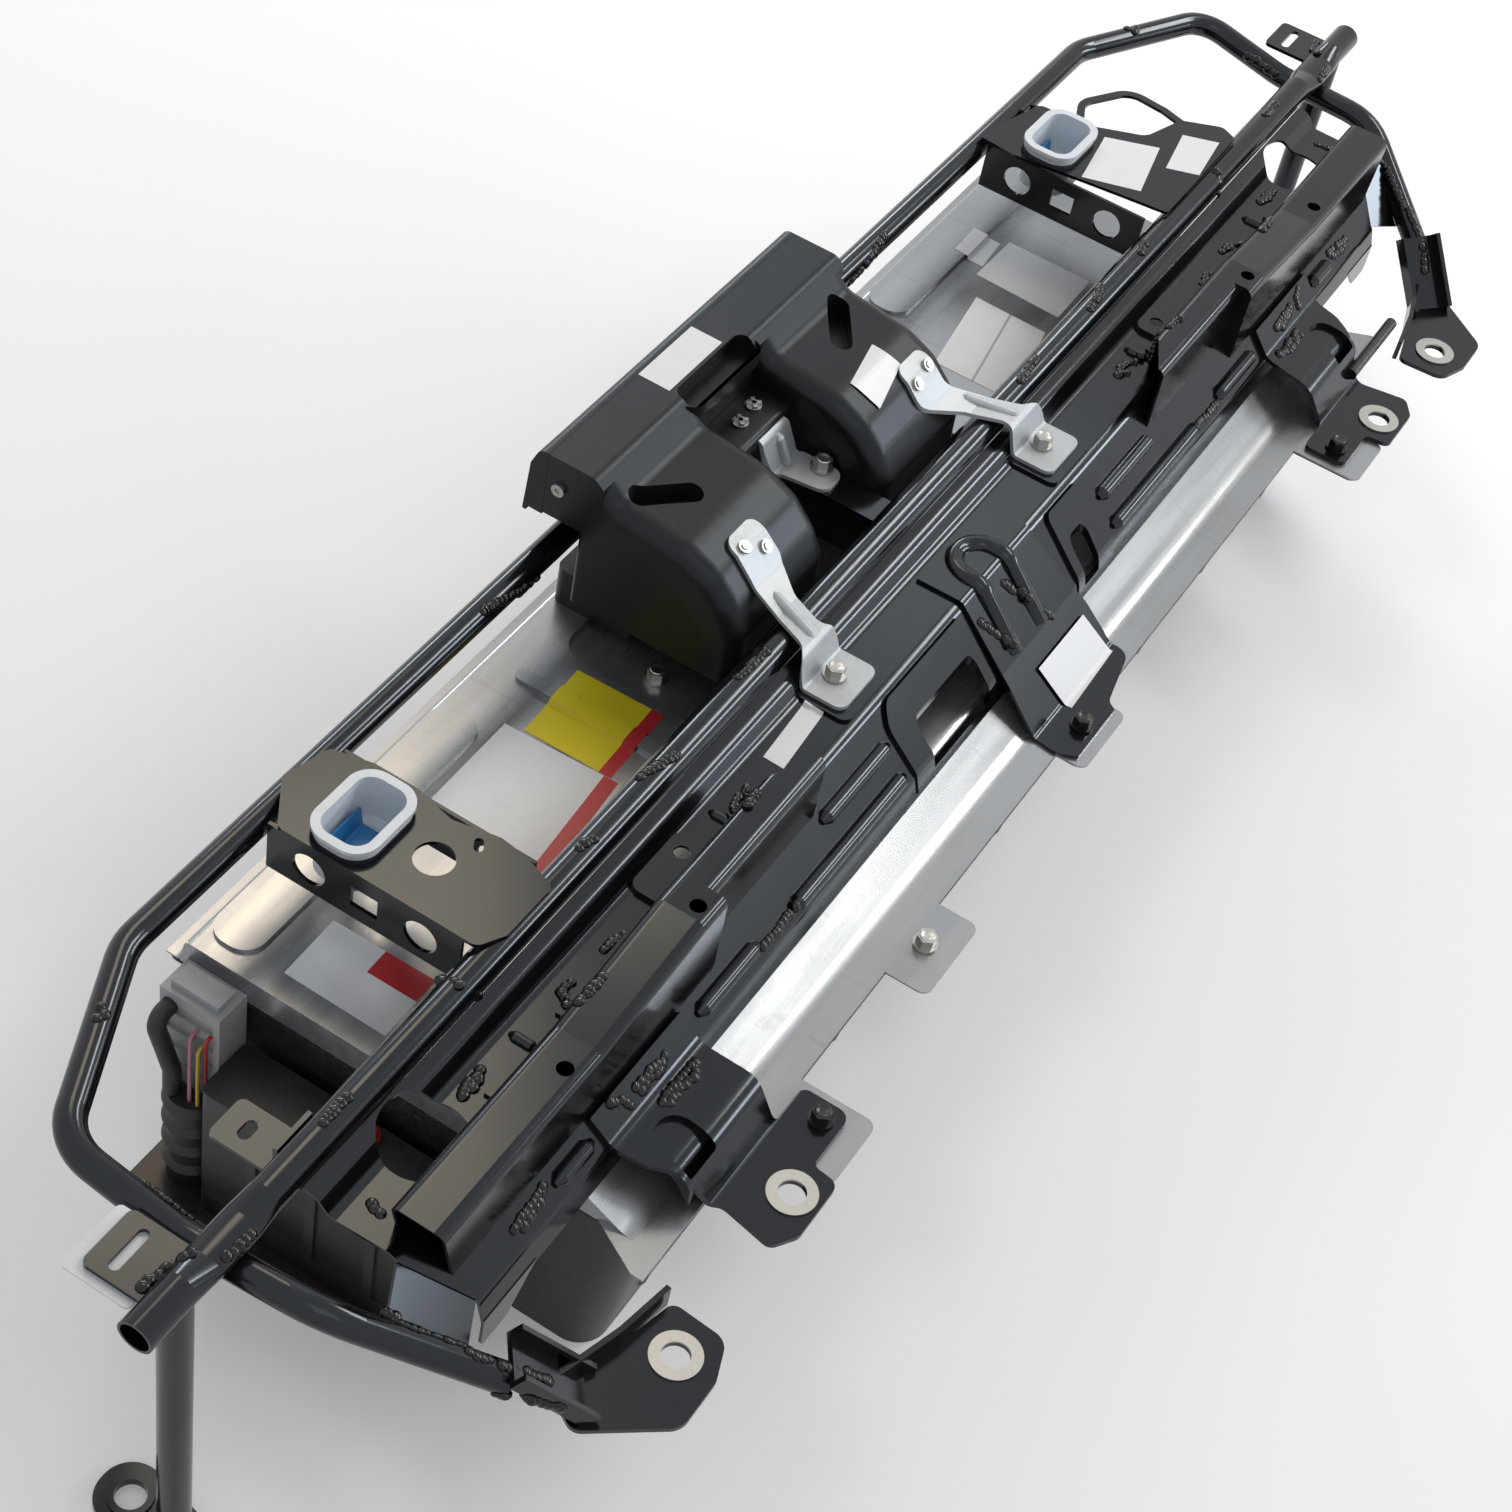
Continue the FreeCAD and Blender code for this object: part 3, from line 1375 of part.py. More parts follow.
def make_cover():
    half = size("cover_half")
    wall = size("cover_sheet")
    top = -size("cover_top")
    flange = -size("flange_drop") + wall
    line = [
        (size("flange_rear"), flange),
        (size("cover_rear") + 4, flange),
        (size("cover_rear"), top),
        (-size("cover_front"), top),
        (-size("cover_front") - size("cover_slope_run"), flange),
        (-size("flange_front"), flange),
    ]
    shape = bent_sheet(line, wall, [3, 3, 3, 10, 20, 3], -half, half)
    rear = size("cover_rear")
    slope_foot = -size("cover_front") - size("cover_slope_run") + 1
    cap = [(rear + 3.5, flange - wall), (rear - 0.5, top - 0.5),
           (-size("cover_front"), top - 0.5), (slope_foot, flange - wall)]
    for x in (-half, half - wall):
        shape = shape.fuse(side_prism(cap, x, x + wall))
    for place, width, reach in cover_tabs():
        outline = plan_box(place - width / 2, place + width / 2, -reach, -size("flange_front") + 4)
        shape = shape.fuse(plan_prism(outline, flange - wall, flange, [6, 6, 0, 0]))
    front = -size("flange_front")
    for side in (-1, 1):
        corner = [(-half, front + 37), (-half - 16, front + 7), (-half - 16, front), (-half, front)]
        shape = shape.fuse(plan_prism(either_side(corner, side), flange - wall, flange))
    pocket_depth = size("cover_pocket_depth")
    for side in (-1, 1):
        # Rear panel, long bead and the pocket that holds a bolt
        shape = embossed(shape, either_side(plan_box(-half + 10, -235, 117, rear - 3), side), 13)
        shape = embossed(shape, either_side(plan_box(-195, -185, -70, 128), side), 4.9)
        pocket_plan = either_side(plan_box(-161, -108, -52, 122), side)
        shape = dished(shape, pocket_plan, top, pocket_depth, wall, 18)
    nuts = [(side * size("cover_bolt_place"), size("cover_bolt_reach")) for side in (-1, 1)]
    for x, y in nuts:
        low = Vector(x, y, top - pocket_depth - wall - 5)
        shape = shape.fuse(rod(low, low + Vector(0, 0, 5.4), 12))
    shape = drilled(shape, nuts + front_bolts(), size("bolt_hole"))
    for side in (-1, 1):
        inlet = shaft_plan(side, size("chute_sheet") + 0.6)
        shape = shape.cut(plan_prism(inlet, -100, -40, 3))
    keep("battery_cover", shape.removeSplitter())


def make_seal():
    """Foam strip between the tray's flange and the cover's."""
    low = -size("flange_drop") - size("seal_height") + 0.1
    high = -size("flange_drop") - 0.1
    inset = 3
    outer = plan_box(-size("cover_half") + inset, size("cover_half") - inset,
                     -size("flange_front") + inset, size("flange_rear") - inset)
    inner = plan_box(-size("tray_half") + 1, size("tray_half") - 1, -size("tray_front"), size("tray_rear"))
    seal = plan_prism(outer, low, high, 5).cut(plan_prism(inner, low, high, 16))
    keep("cover_seal", drilled(seal, front_bolts(), size("bolt_hole") + 6))


# Battery tray


def tray_block(inset, floor, top):
    """Drafted tub: smaller at its floor than at its flange."""
    sections = []
    for height, draw_in, front_in in ((floor, size("tray_draft"), size("tray_front_draft")), (top, 0, 0)):
        half = size("tray_half") - inset - draw_in
        front = -size("tray_front") + inset + front_in
        rear = size("tray_rear") - inset - draw_in
        outline = plan_box(-half, half, front, rear)
        edges = rounded_edges([Vector(x, y, height) for x, y in outline], [18 - inset] * 4, True)
        sections.append(Part.Wire(edges))
    return Part.makeLoft(sections, True, True)


def make_tray():
    wall = size("tray_sheet")
    floor = -size("axis_height")
    top = -size("flange_drop") - size("seal_height")
    shape = tray_block(0, floor, top)
    flange = plan_prism(plan_box(-size("cover_half"), size("cover_half"), -size("flange_front"),
                                 size("flange_rear")), top - wall, top, 6)
    shelf_end = size("shelf_end")
    slant = size("shelf_slant")
    front = -size("end_box_front")
    shelf_plan = [(-shelf_end, front + slant), (slant - shelf_end, front), (0, front),
                  (0, size("shelf_rear")),
                  (-shelf_end, size("shelf_rear"))]
    shelf = plan_prism(shelf_plan, floor, floor + wall, 5)
    lip = box_between((-shelf_end, front + slant + 4, floor),
                      (-shelf_end + wall, size("shelf_rear") - 5, floor + size("shelf_lip")))
    shape = shape.fuse([flange, shelf, lip])
    # Upright stiffening ribs pressed out of the long walls
    for index in range(9):
        place = (index - 4) * size("tray_rib_pitch")
        for side, reach, draft in ((-1, "tray_front", "tray_front_draft"), (1, "tray_rear", "tray_draft")):
            ends = []
            for z in (floor + 26, top - 20):
                depth = size(draft) * (top - z) / (top - floor)
                ends.append(Vector(place, side * (size(reach) - depth - 3.5), z))
            shape = shape.fuse(bead_rod(ends[0], ends[1], 6))
    for place, width, reach in cover_tabs():
        inset = 2
        outline = plan_box(place - width / 2 + inset, place + width / 2 - inset, -reach + inset,
                           -size("flange_front") + 4)
        shape = shape.fuse(plan_prism(outline, top - wall, top, [6, 6, 0, 0]))
    for x, y in front_bolts():
        low = Vector(x, y, top - wall - 5)
        shape = shape.fuse(rod(low, low + Vector(0, 0, 5.4), 12))
    shape = shape.cut(tray_block(wall, floor + wall, top + 0.01))
    keep("battery_tray", drilled(shape, front_bolts(), size("bolt_hole")).removeSplitter())


# Inside the box


FLOOR = "-axis_height + tray_sheet + seat_gap"


def make_modules():
    for name, side in SIDES:
        body = new_body(name + "_cell_module")
        start = "module_inner" if side == "1" else "-module_outer"
        high = f"{start} + module_outer - module_inner"
        front = "-module_front"
        rear = "module_rear"
        corners = [(start, front), (high, front), (high, rear), (start, rear)]
        pad(body, outline_sketch(body, "XY_Plane", corners, FLOOR), "module_height")
        # One groove between each cell and the next
        low_edge = f"{start} + cell_pitch - cell_groove / 2"
        high_edge = f"{start} + cell_pitch + cell_groove / 2"
        groove = [
            (low_edge, "-module_front - 1"),
            (high_edge, "-module_front - 1"),
            (high_edge, "module_rear + 1"),
            (low_edge, "module_rear + 1"),
        ]
        top = f"{FLOOR} + module_height"
        first = pocket(body, outline_sketch(body, "XY_Plane", groove, top), "cell_groove * 2")
        pattern = body.newObject("PartDesign::LinearPattern", body.Name + "_cells")
        pattern.Originals = [first]
        pattern.Direction = (body_plane(body, "X_Axis"), [""])
        grooves = round(size("(module_outer - module_inner) / cell_pitch")) - 1
        pattern.setExpression("Length", cell(f"cell_pitch * {grooves - 1}"))
        pattern.Occurrences = grooves
        body.Tip = pattern
        doc.recompute()
        seat(body, body.Name)


def make_end_plates():
    """Clamping plates at both ends of both cell modules."""
    gap = size("end_plate_gap")
    thickness = size("end_plate")
    floor = size(FLOOR)
    height = size("module_height") - 4
    shapes = []
    for side in (-1, 1):
        for x in (side * (size("module_outer") + gap + thickness / 2),
                  side * (size("module_inner") - gap - thickness / 2)):
            plate = box_between((x - thickness / 2, -size("module_front"), floor),
                                (x + thickness / 2, size("module_rear"), floor + height))
            window = box_between((x - thickness, -60, floor + 22), (x + thickness, 52, floor + height - 22))
            shapes.append(plate.cut(window))
    keep("module_end_plates", Part.makeCompound(shapes))


def make_bus_bars():
    """Copper bars that join the modules to each other and to the relay box."""
    low = size(FLOOR + " + module_height + seat_gap")
    high = low + size("bus_bar_sheet")
    width = size("bus_bar_width")
    end = size("module_outer") + 8
    link = box_between((-48, 20, low), (48, 20 + width, high))
    start = end - 50
    left = box_between((-end, -70, low), (-start, -70 + width, high))
    right = box_between((start, -70, low), (end, -70 + width, high))
    keep("bus_bars", Part.makeCompound([link, left, right]))


def make_relay_box():
    block = doc.addObject("Part::Box", "relay_box_block")
    block.setExpression("Length", cell("relay_length"))
    block.setExpression("Width", cell("module_front + module_rear - 20"))
    block.setExpression("Height", cell("relay_height"))
    block.setExpression("Placement.Base.x", cell("module_outer + end_plate + 2 * end_plate_gap"))
    block.setExpression("Placement.Base.y", cell("-module_front + 10"))
    block.setExpression("Placement.Base.z", cell(FLOOR))
    doc.recompute()
    case = doc.addObject("Part::Fillet", "relay_box")
    case.Base = block
    edges = []
    for index, edge in enumerate(block.Shape.Edges, start=1):
        run = edge.Vertexes[1].Point - edge.Vertexes[0].Point
        if abs(run.z) > 1:
            edges.append((index, 4.0, 4.0))
    case.Edges = edges
    doc.recompute()
    seat(case, "relay_box")


def make_controller():
    """Battery controller in its own case, beside the left module."""
    x = -size("module_outer") - size("end_plate") - 2 * size("end_plate_gap")
    floor = size(FLOOR)
    height = size("controller_height")
    front = -90
    rear = 84
    lip = 3
    case = box_between((x - 40, front, floor), (x, rear, floor + height))
    lid = box_between((x - 40 + lip, front + lip, floor), (x - lip, rear - lip, floor + height + 6))
    keep("battery_controller", case.fuse(lid).removeSplitter())


# Left end of the box


def make_end_box():
    """Closed junction box that stands on the tray's shelf."""
    inner = "-cover_half - seat_gap - 1"
    outer = "-cover_half - seat_gap - 1 - end_box_depth"
    body = new_body("end_box")
    front = "-end_box_front"
    rear = "end_box_rear"
    corners = [(outer, front), (inner, front), (inner, rear), (outer, rear)]
    height = "axis_height - tray_sheet - seat_gap - end_box_top"
    pad(body, outline_sketch(body, "XY_Plane", corners, FLOOR), height)
    round_edges(body, "5", ALONG_Z, anywhere)
    # Shallow fields between upright ribs on the outer wall
    for index in range(4):
        first = f"-end_box_front + 8 + {index} * end_box_field"
        last = f"{first} + end_box_field - 6"
        field = [(first, "-end_box_top - 14"), (last, "-end_box_top - 14"), (last, "-axis_height + 18"),
                 (first, "-axis_height + 18")]
        pocket(body, outline_sketch(body, "YZ_Plane", field, f"{outer} + 2"), "4")
    seat(body, "end_box")
    cap_low = Vector(-size("cover_half") - 11, 24, -size("end_box_top") + size("seat_gap"))
    cap = rod(cap_low, cap_low + Vector(0, 0, 4), 13).fuse(rod(cap_low, cap_low + Vector(0, 0, 7), 9))
    keep("service_cap", cap)


def make_connector():
    """Upright multi-way connector hung on the cover's left edge."""
    near = -size("cover_half") - size("seat_gap")
    far = near - size("connector_depth")
    front = size("connector_front")
    rear = size("connector_rear")
    top = -size("connector_top")
    low = -size("connector_low")
    shape = box_between((far, front, low), (near, rear, top))
    shape = shape.fuse(box_between((far + 4, front + 4, low), (near - 4, rear - 4, top + 4)))
    hook_top = -size("flange_drop") - 3.2
    hook = box_between((near - 1, front + 6, low + 12), (-size("tray_half") - 0.4, rear - 6, hook_top))
    shape = shape.fuse(hook)
    for index in range(4):
        z = low + 12 + index * 14
        groove = box_between((far - 1, front + 4, z), (far + 2, rear - 4, z + 8))
        shape = shape.cut(groove)
    keep("signal_connector", shape.removeSplitter())


def boot_centre():
    near = -size("cover_half") - size("seat_gap")
    radius = size("boot_outer") / 2
    behind = size("end_box_rear") + radius + size("seat_gap")
    return Vector(near - size("connector_depth") / 2 - 10, behind, 0)


def make_boot():
    """Ribbed rubber boot below the connector, behind the junction box."""
    top = -size("connector_low") - size("seat_gap")
    floor = size(FLOOR)
    centre = boot_centre()
    radius = size("boot_outer") / 2
    shape = rod(centre + Vector(0, 0, floor), centre + Vector(0, 0, top), 2 * radius - 5)
    for index in range(4):
        crest = centre + Vector(0, 0, top - 12 - index * 17)
        shape = shape.fuse(Part.makeCone(radius - 3, radius, 6, crest))
        shape = shape.fuse(Part.makeCone(radius, radius - 3, 6, crest + Vector(0, 0, 6)))
    keep("cable_boot", shape.removeSplitter())


def make_wires():
    """Five signal wires and a taped loom, from the connector into the boot."""
    face = -size("cover_half") - size("seat_gap") - size("connector_depth") - size("seat_gap")
    low = -size("connector_low")
    centre = boot_centre()
    wires = []
    for index in range(5):
        y = size("connector_front") + 5 + index * 2.6
        z = low + 54 - (index % 3) * 7
        out = face - 4 - (index % 2) * 3
        points = [Vector(face, y, z), Vector(out, y, z), Vector(out, y, low)]
        wires.append(swept_rod(points, [0, 3, 0], size("wire")))
    keep("signal_wires", Part.makeCompound(wires))
    y = size("connector_rear") - 7
    down = centre.y + 8
    points = [
        Vector(face, y, low + 60),
        Vector(face - 13, y, low + 60),
        Vector(face - 7, down, low + 18),
        Vector(face - 7, down, low + size("seat_gap")),
    ]
    keep("wire_loom", swept_rod(points, [0, 7, 16, 0], size("loom")))


# Cooling duct


def duct_roof():
    """Side view of the duct's roof from the rear down to a lobe's foot."""
    return [
        (148, size("duct_top") + 3),
        (118, size("duct_top") + 3),
        (103, 51),
        (86, 49),
        (60, 45),
        (40, 36),
        (25, 21),
        (size("lobe_front") - 1, 4),
        (size("lobe_front") - 2, -size("lobe_foot")),
    ]


def roof_height(y):
    """Height of a lobe's roof at a distance behind the cross tube."""
    roof = duct_roof()
    for (y_rear, z_rear), (y_front, z_front) in zip(roof, roof[1:]):
        if y_front <= y <= y_rear:
            return z_rear + (z_front - z_rear) * (y - y_rear) / (y_front - y_rear)
    return roof[-1][1]


def lobe_spans():
    """Low and high X of the duct's two lobes."""
    middle = size("duct_middle")
    half = size("duct_half")
    gap = size("lobe_gap") / 2
    return [(middle - half, middle - gap), (middle + gap, middle + half)]


def shaft_plan(side, inset):
    """Plan of a chute's air shaft, drawn inwards by an inset."""
    low, high = lobe_spans()[0]
    outline = plan_box(low + size("shaft_inset"), high - 8, 24, 92)
    outline = shrunk(outline, inset) if inset else outline
    if side < 0:
        return outline
    middle = size("duct_middle")
    return [(2 * middle - x, y) for x, y in outline][::-1]


def duct_volume(inset):
    """Lobes and plenum of the duct, drawn inwards by a wall's thickness."""
    roof = duct_roof()
    below = -size("lobe_foot") - (30 if inset else 0)
    closed = roof[:-1] + [(roof[-1][0], below), (roof[0][0] + (30 if inset else 0), below)]
    if inset:
        closed[0] = (closed[-1][0], closed[0][1])
    radii = [0, 8, 12, 30, 40, 24, 24, 10, 0, 0]
    if inset:
        closed = shrunk(closed, inset)
        radii = [0, 8 - inset, 12 + inset, 30 + inset, 40 - inset, 24 - inset, 24 - inset, 10, 0, 0]
    round_size = size("lobe_round") - inset
    shapes = []
    for low, high in lobe_spans():
        lobe = side_prism(closed, low + inset, high - inset, radii)
        edges = []
        for edge in lobe.Edges:
            box = edge.BoundBox
            on_side = box.XLength < 0.01
            upright_low = box.ZMax < below + 0.1
            behind = box.YMin > closed[0][0] - 0.1
            if on_side and not upright_low and not behind:
                edges.append(edge)
        shapes.append(lobe.makeFillet(round_size, edges))
    spans = lobe_spans()
    front = size("duct_shoulder")
    plenum = side_prism(closed, spans[0][0] + inset, spans[1][1] - inset, radii)
    keep_rear = box_between((-400, front + inset, -200), (400, 400, 200))
    shapes.append(plenum.common(keep_rear))
    return shapes[0].fuse(shapes[1:])


def make_duct():
    wall = size("duct_wall")
    shape = duct_volume(0).cut(duct_volume(wall))
    # The lower edge follows the roof and ends above the rear tube
    rim = [
        (260, 20), (113, 22), (100, 25), (84, 27), (62, 20), (48, 8), (38, -6), (34, -22), (34, -90),
        (260, -90),
    ]
    cut_low = side_prism(rim, -400, 400, [0, 0, 10, 20, 20, 20, 10, 0, 0, 0])
    shape = shape.cut(cut_low)
    top = size("duct_top") + 3
    # Long notch in the plenum's roof between the lobes
    notch = slot_outline((size("duct_middle") - 6.5, 117), (1, 0), 71, 16)
    shape = shape.cut(plan_prism(notch, top - 12, top + 5, 7))
    # Blind finger slots in the lobes
    length = size("duct_slot_length")
    width = size("duct_slot_width")
    for centre, direction in (((-120, 89.5), (32, -25)), ((73, 91.5), (30, 21))):
        outline = slot_outline(centre, direction, length + 3, width + 3)
        outer = plan_prism(outline, 34, 60, (width + 3) / 2 - 0.05)
        cup_shape = outer.common(duct_volume(0))
        hollow = plan_prism(slot_outline(centre, direction, length, width), 36, 70, width / 2 - 0.05)
        shape = shape.fuse(cup_shape).cut(hollow)
    shape = shape.cut(rivet_spaces()).cut(screw_spaces())
    keep("duct_housing", largest(shape).removeSplitter())


def make_rear_strip():
    """Snap-on cover along the duct's rear edge."""
    low, high = lobe_spans()[0][0], lobe_spans()[1][1]
    wall = size("duct_wall")
    top = size("duct_top") + 3
    start = duct_roof()[0][0] + size("seat_gap")
    rear = size("duct_rear")
    line = [(rear + 3, 17), (rear + 1, 52), (rear - 4, top), (start, top)]
    shape = bent_sheet(line, wall, 3, low, high)
    cap = [(start, 20), (rear + 1.5, 20), (rear, 52), (rear - 4.5, top - 1), (start, top - 1)]
    for x in (low, high - wall):
        shape = shape.fuse(side_prism(cap, x, x + wall))
    keep("duct_rear_strip", shape.removeSplitter())


def make_chutes():
    """Lower shells that carry the air from the lobes into the box."""
    low, high = lobe_spans()[0]
    wall = size("chute_sheet")
    inset = size("duct_wall") + size("chute_inset")
    front = size("lobe_front") - 2 + inset
    floor = -size("cover_top") + size("seat_gap")
    bottom = -size("neck_drop")
    top_line = [(front - 2, bottom), (front - 2, -16), (27, -8), (38, 10), (52, 23), (76, 31), (100, 30),
                (126, 28), (126, bottom)]
    neck_plan = plan_box(low + inset, high - inset, front, 126)
    neck = plan_prism(neck_plan, bottom, 60, [9, 9, 3, 3])
    neck = neck.common(side_prism(top_line[::-1], low, high))
    hollow = plan_prism(shrunk(neck_plan, wall), bottom + wall, 70, [7, 7, 1, 1])
    neck = neck.cut(hollow)
    shaft = plan_prism(shaft_plan(-1, 0), floor, bottom + wall, 5)
    foot_plan = plan_box(low + 22, high - 8, 92, 147)
    foot_hollow = plan_prism(shrunk(foot_plan, wall), floor - 1, bottom - wall, 4)
    foot = plan_prism(foot_plan, floor, bottom, 6).cut(foot_hollow)
    shape = neck.fuse([shaft, foot])
    shape = shape.cut(plan_prism(shaft_plan(-1, wall), floor - 1, bottom + wall + 1, 3))
    keep("left_duct_chute", shape.removeSplitter())
    middle = Vector(size("duct_middle"), 0, 0)
    keep("right_duct_chute", shape.removeSplitter().mirror(middle, Vector(1, 0, 0)))


def make_bridge():
    """Dark bar across the gap between the lobes, with two spring clips."""
    gap = size("seat_gap")
    low, high = lobe_spans()[0][1] + gap, lobe_spans()[1][0] - gap
    thickness = 3
    line = [(size("duct_shoulder") - gap, 30), (84, 30), (84, 22)]
    shape = bent_sheet(line, thickness, 2, low, high)
    # The front flange is cut away over the middle strap
    shape = shape.cut(box_between((-25.5, 80, 10), (6, 90, 27)))
    keep("duct_bridge", shape)
    clip = Part.makeCylinder(5, 1.2)
    for turn in (0, 90):
        finger = Part.makeBox(9, 2.4, 3, Vector(-4.5, -1.2, 0))
        finger.rotate(Vector(0, 0, 0), Vector(0, 0, 1), turn + 45)
        clip = clip.fuse(finger)
    clip = clip.cut(Part.makeCylinder(1.6, 5))
    keep("bridge_clips", copies(clip, [(-4, 101, 30 + gap), (-22, 99, 30 + gap)]))


def make_strap_shelf():
    """Welded shelf behind the cross tube that carries the middle strap."""
    body = new_body("strap_shelf")
    start = "tube_outer / 2 + seat_gap"
    right = "duct_middle + lobe_gap / 2 - 3 * seat_gap"
    corners = [("-10", start), (right, start), (right, "74"), ("-10", "74")]
    pad(body, outline_sketch(body, "XY_Plane", corners, "-seat_gap - shelf_sheet"), "shelf_sheet")
    hole = circle_sketch(body, "XY_Plane", [("mid_bolt_place", "mid_bolt_reach")], "bolt_hole", "1")
    pocket(body, hole)
    round_edges(body, "6", ALONG_Z, lambda point: point.y > 70)
    seat(body, "strap_shelf")


# Place and rivets of each outer strap: its top's middle, its bolt and its rivets
OUTER_STRAPS = (
    ("left", -110, -1, ((-117, 39), (-103, 33))),
    ("right", 81, 1, ((73, 35), (89, 38))),
)


def strap_line():
    """Side view of an outer strap, from the lobe's roof down to the member."""
    lift = size("seat_gap") + size("strap_sheet")
    roof = [(50, roof_height(50)), (40, roof_height(40)), (25, roof_height(25))]
    top = beside(roof, -lift)
    pad_top = -size("band_drop") + size("pad_height") + lift
    return top + [(6, 15), (-18.5, 9.5), (-24.5, pad_top), (-52, pad_top)]


def on_strap(y):
    """Point on an outer strap's upper side and the direction it faces."""
    line = strap_line()
    for (y_rear, z_rear), (y_front, z_front) in zip(line, line[1:]):
        if y_front <= y <= y_rear:
            z = z_rear + (z_front - z_rear) * (y - y_rear) / (y_front - y_rear)
            return z, Vector(0, -(z_rear - z_front), y_rear - y_front).normalize()
    raise ValueError("no strap there")


def rivet_parts():
    """Foot of each rivet on its strap and the direction it stands in."""
    found = []
    for name, top, side, rivets in OUTER_STRAPS:
        for x, y in rivets:
            z, normal = on_strap(y)
            found.append((Vector(x, y, z), normal))
    return found


def rivet_spaces():
    shapes = [rod(foot + normal * 6, foot - normal * 16, 4.4) for foot, normal in rivet_parts()]
    return Part.makeCompound(shapes)


def make_rivets():
    gap = size("seat_gap")
    shapes = []
    for foot, normal in rivet_parts():
        seat_point = foot + normal * gap
        head = rod(seat_point, seat_point + normal * 1.6, size("rivet_head"))
        head = head.fuse(rod(seat_point, seat_point + normal * 2.4, 4.6))
        shapes.append(head.fuse(rod(seat_point, seat_point - normal * 6, 4)))
    keep("strap_rivets", Part.makeCompound(shapes))


def make_straps():
    thickness = size("strap_sheet")
    line = strap_line()
    bolt_y = -size("strap_bolt_reach")
    for name, top, side, rivets in OUTER_STRAPS:
        bolt = side * size("strap_bolt_place")
        neck = (top + bolt) / 2
        low_neck = bolt - (bolt - top) * 0.15
        outline = [
            (top - 14, 48), (top - 15, 27), (neck - 10, 8), (low_neck - 10, -13), (bolt - 20, -22),
            (bolt - 20, -50), (bolt + 20, -50), (bolt + 20, -22), (low_neck + 10, -13), (neck + 10, 8),
            (top + 15, 27), (top + 14, 48),
        ]
        strap = bent_sheet(line, thickness, 2.5, bolt - 80, bolt + 80)
        # Bead along the neck
        z_high, normal = on_strap(14)
        z_low, normal = on_strap(-13)
        start = Vector(neck, 14, z_high - 1)
        end = Vector(low_neck, -13, z_low - 1)
        strap = strap.fuse(bead_rod(start, end, 3).cut(
            bent_sheet([(y, z - 1) for y, z in line], 30, 0.5, bolt - 80, bolt + 80)))
        strap = strap.common(plan_prism(outline, -60, 80, [7, 5, 12, 8, 6, 6, 6, 6, 8, 12, 5, 7]))
        hole = Vector(bolt, bolt_y, -60)
        strap = strap.cut(rod(hole, hole + Vector(0, 0, 100), size("bolt_hole")))
        keep(name + "_duct_strap", largest(strap.cut(rivet_spaces())).removeSplitter())
    # Middle strap, from below the bridge down to the shelf
    line = [(104, 27 - size("seat_gap")), (82, 27 - size("seat_gap")), (74, thickness), (42, thickness)]
    strap = bent_sheet(line, thickness, 2.5, -40, 40)
    right = lobe_spans()[1][0] - 3 * size("seat_gap")
    outline = [(-24, 104), (-24, 80), (-14, 70), (-10, 42), (right, 42), (right, 70), (4, 84), (2, 104)]
    strap = strap.common(plan_prism(outline, -60, 80, [4, 5, 6, 8, 8, 6, 5, 4]))
    strap = strap.fuse(bead_rod(Vector(-4, 73, 4), Vector(-7, 80, 20), 3.4).cut(
        bent_sheet([(y, z - 1) for y, z in line], 30, 0.5, -40, 40)))
    hole = Vector(size("mid_bolt_place"), size("mid_bolt_reach"), -60)
    strap = strap.cut(rod(hole, hole + Vector(0, 0, 100), size("bolt_hole")))
    keep("mid_duct_strap", largest(strap).removeSplitter())


# Bolts and screws


def make_bolt(shank):
    """Hexagon flange bolt whose flange sits on z = 0."""
    flange = Part.makeCylinder(size("bolt_flange") / 2, size("bolt_flange_height"))
    radius = size("bolt_hex") / math.sqrt(3)
    angles = [math.radians(60 * index) for index in range(6)]
    corners = [(radius * math.cos(angle), radius * math.sin(angle)) for angle in angles]
    head = plan_prism(corners, size("bolt_flange_height"), size("bolt_flange_height") + size("bolt_head"))
    stem = rod(Vector(0, 0, 0), Vector(0, 0, -shank), size("bolt_shank"))
    return flange.fuse([head, stem]).removeSplitter()


def make_bolts():
    gap = size("seat_gap")
    reach = size("strap_bolt_reach")
    place = size("strap_bolt_place")
    pad_top = strap_line()[-1][1] + gap
    strap_seat = size("strap_sheet") + gap
    strap_places = [(-place, -reach, pad_top), (place, -reach, pad_top),
                    (size("mid_bolt_place"), size("mid_bolt_reach"), strap_seat)]
    keep("strap_bolts", copies(make_bolt(8), strap_places))
    cover_seat = -size("cover_top") - size("cover_pocket_depth") + gap
    keep("cover_bolts", copies(make_bolt(8), [
        (side * size("cover_bolt_place"), size("cover_bolt_reach"), cover_seat) for side in (-1, 1)]))
    flange_seat = -size("flange_drop") + size("cover_sheet") + gap
    tab_place = (-size("tab_bolt_place"), -size("tab_bolt_reach"), flange_seat)
    keep("tray_bolt", copies(make_bolt(10), [tab_place]))
    foot_seat = foot_top() + gap
    saddle_seat = flange_seat + size("saddle_sheet") + gap
    places = [(side * size("foot_bolt_place"), -size("foot_bolt_reach"), foot_seat) for side in (-1, 1)]
    places.append((0, -size("saddle_bolt_reach"), saddle_seat))
    keep("foot_bolts", copies(make_bolt(14), places))


def screw_places():
    low, high = lobe_spans()[0][0], lobe_spans()[1][1]
    return [(Vector(low, 139, 44), Vector(-1, 0, 0)), (Vector(high, 139, 44), Vector(1, 0, 0))]


def screw_spaces():
    return Part.makeCompound([rod(point - out * 5, point + out * 2, 4) for point, out in screw_places()])


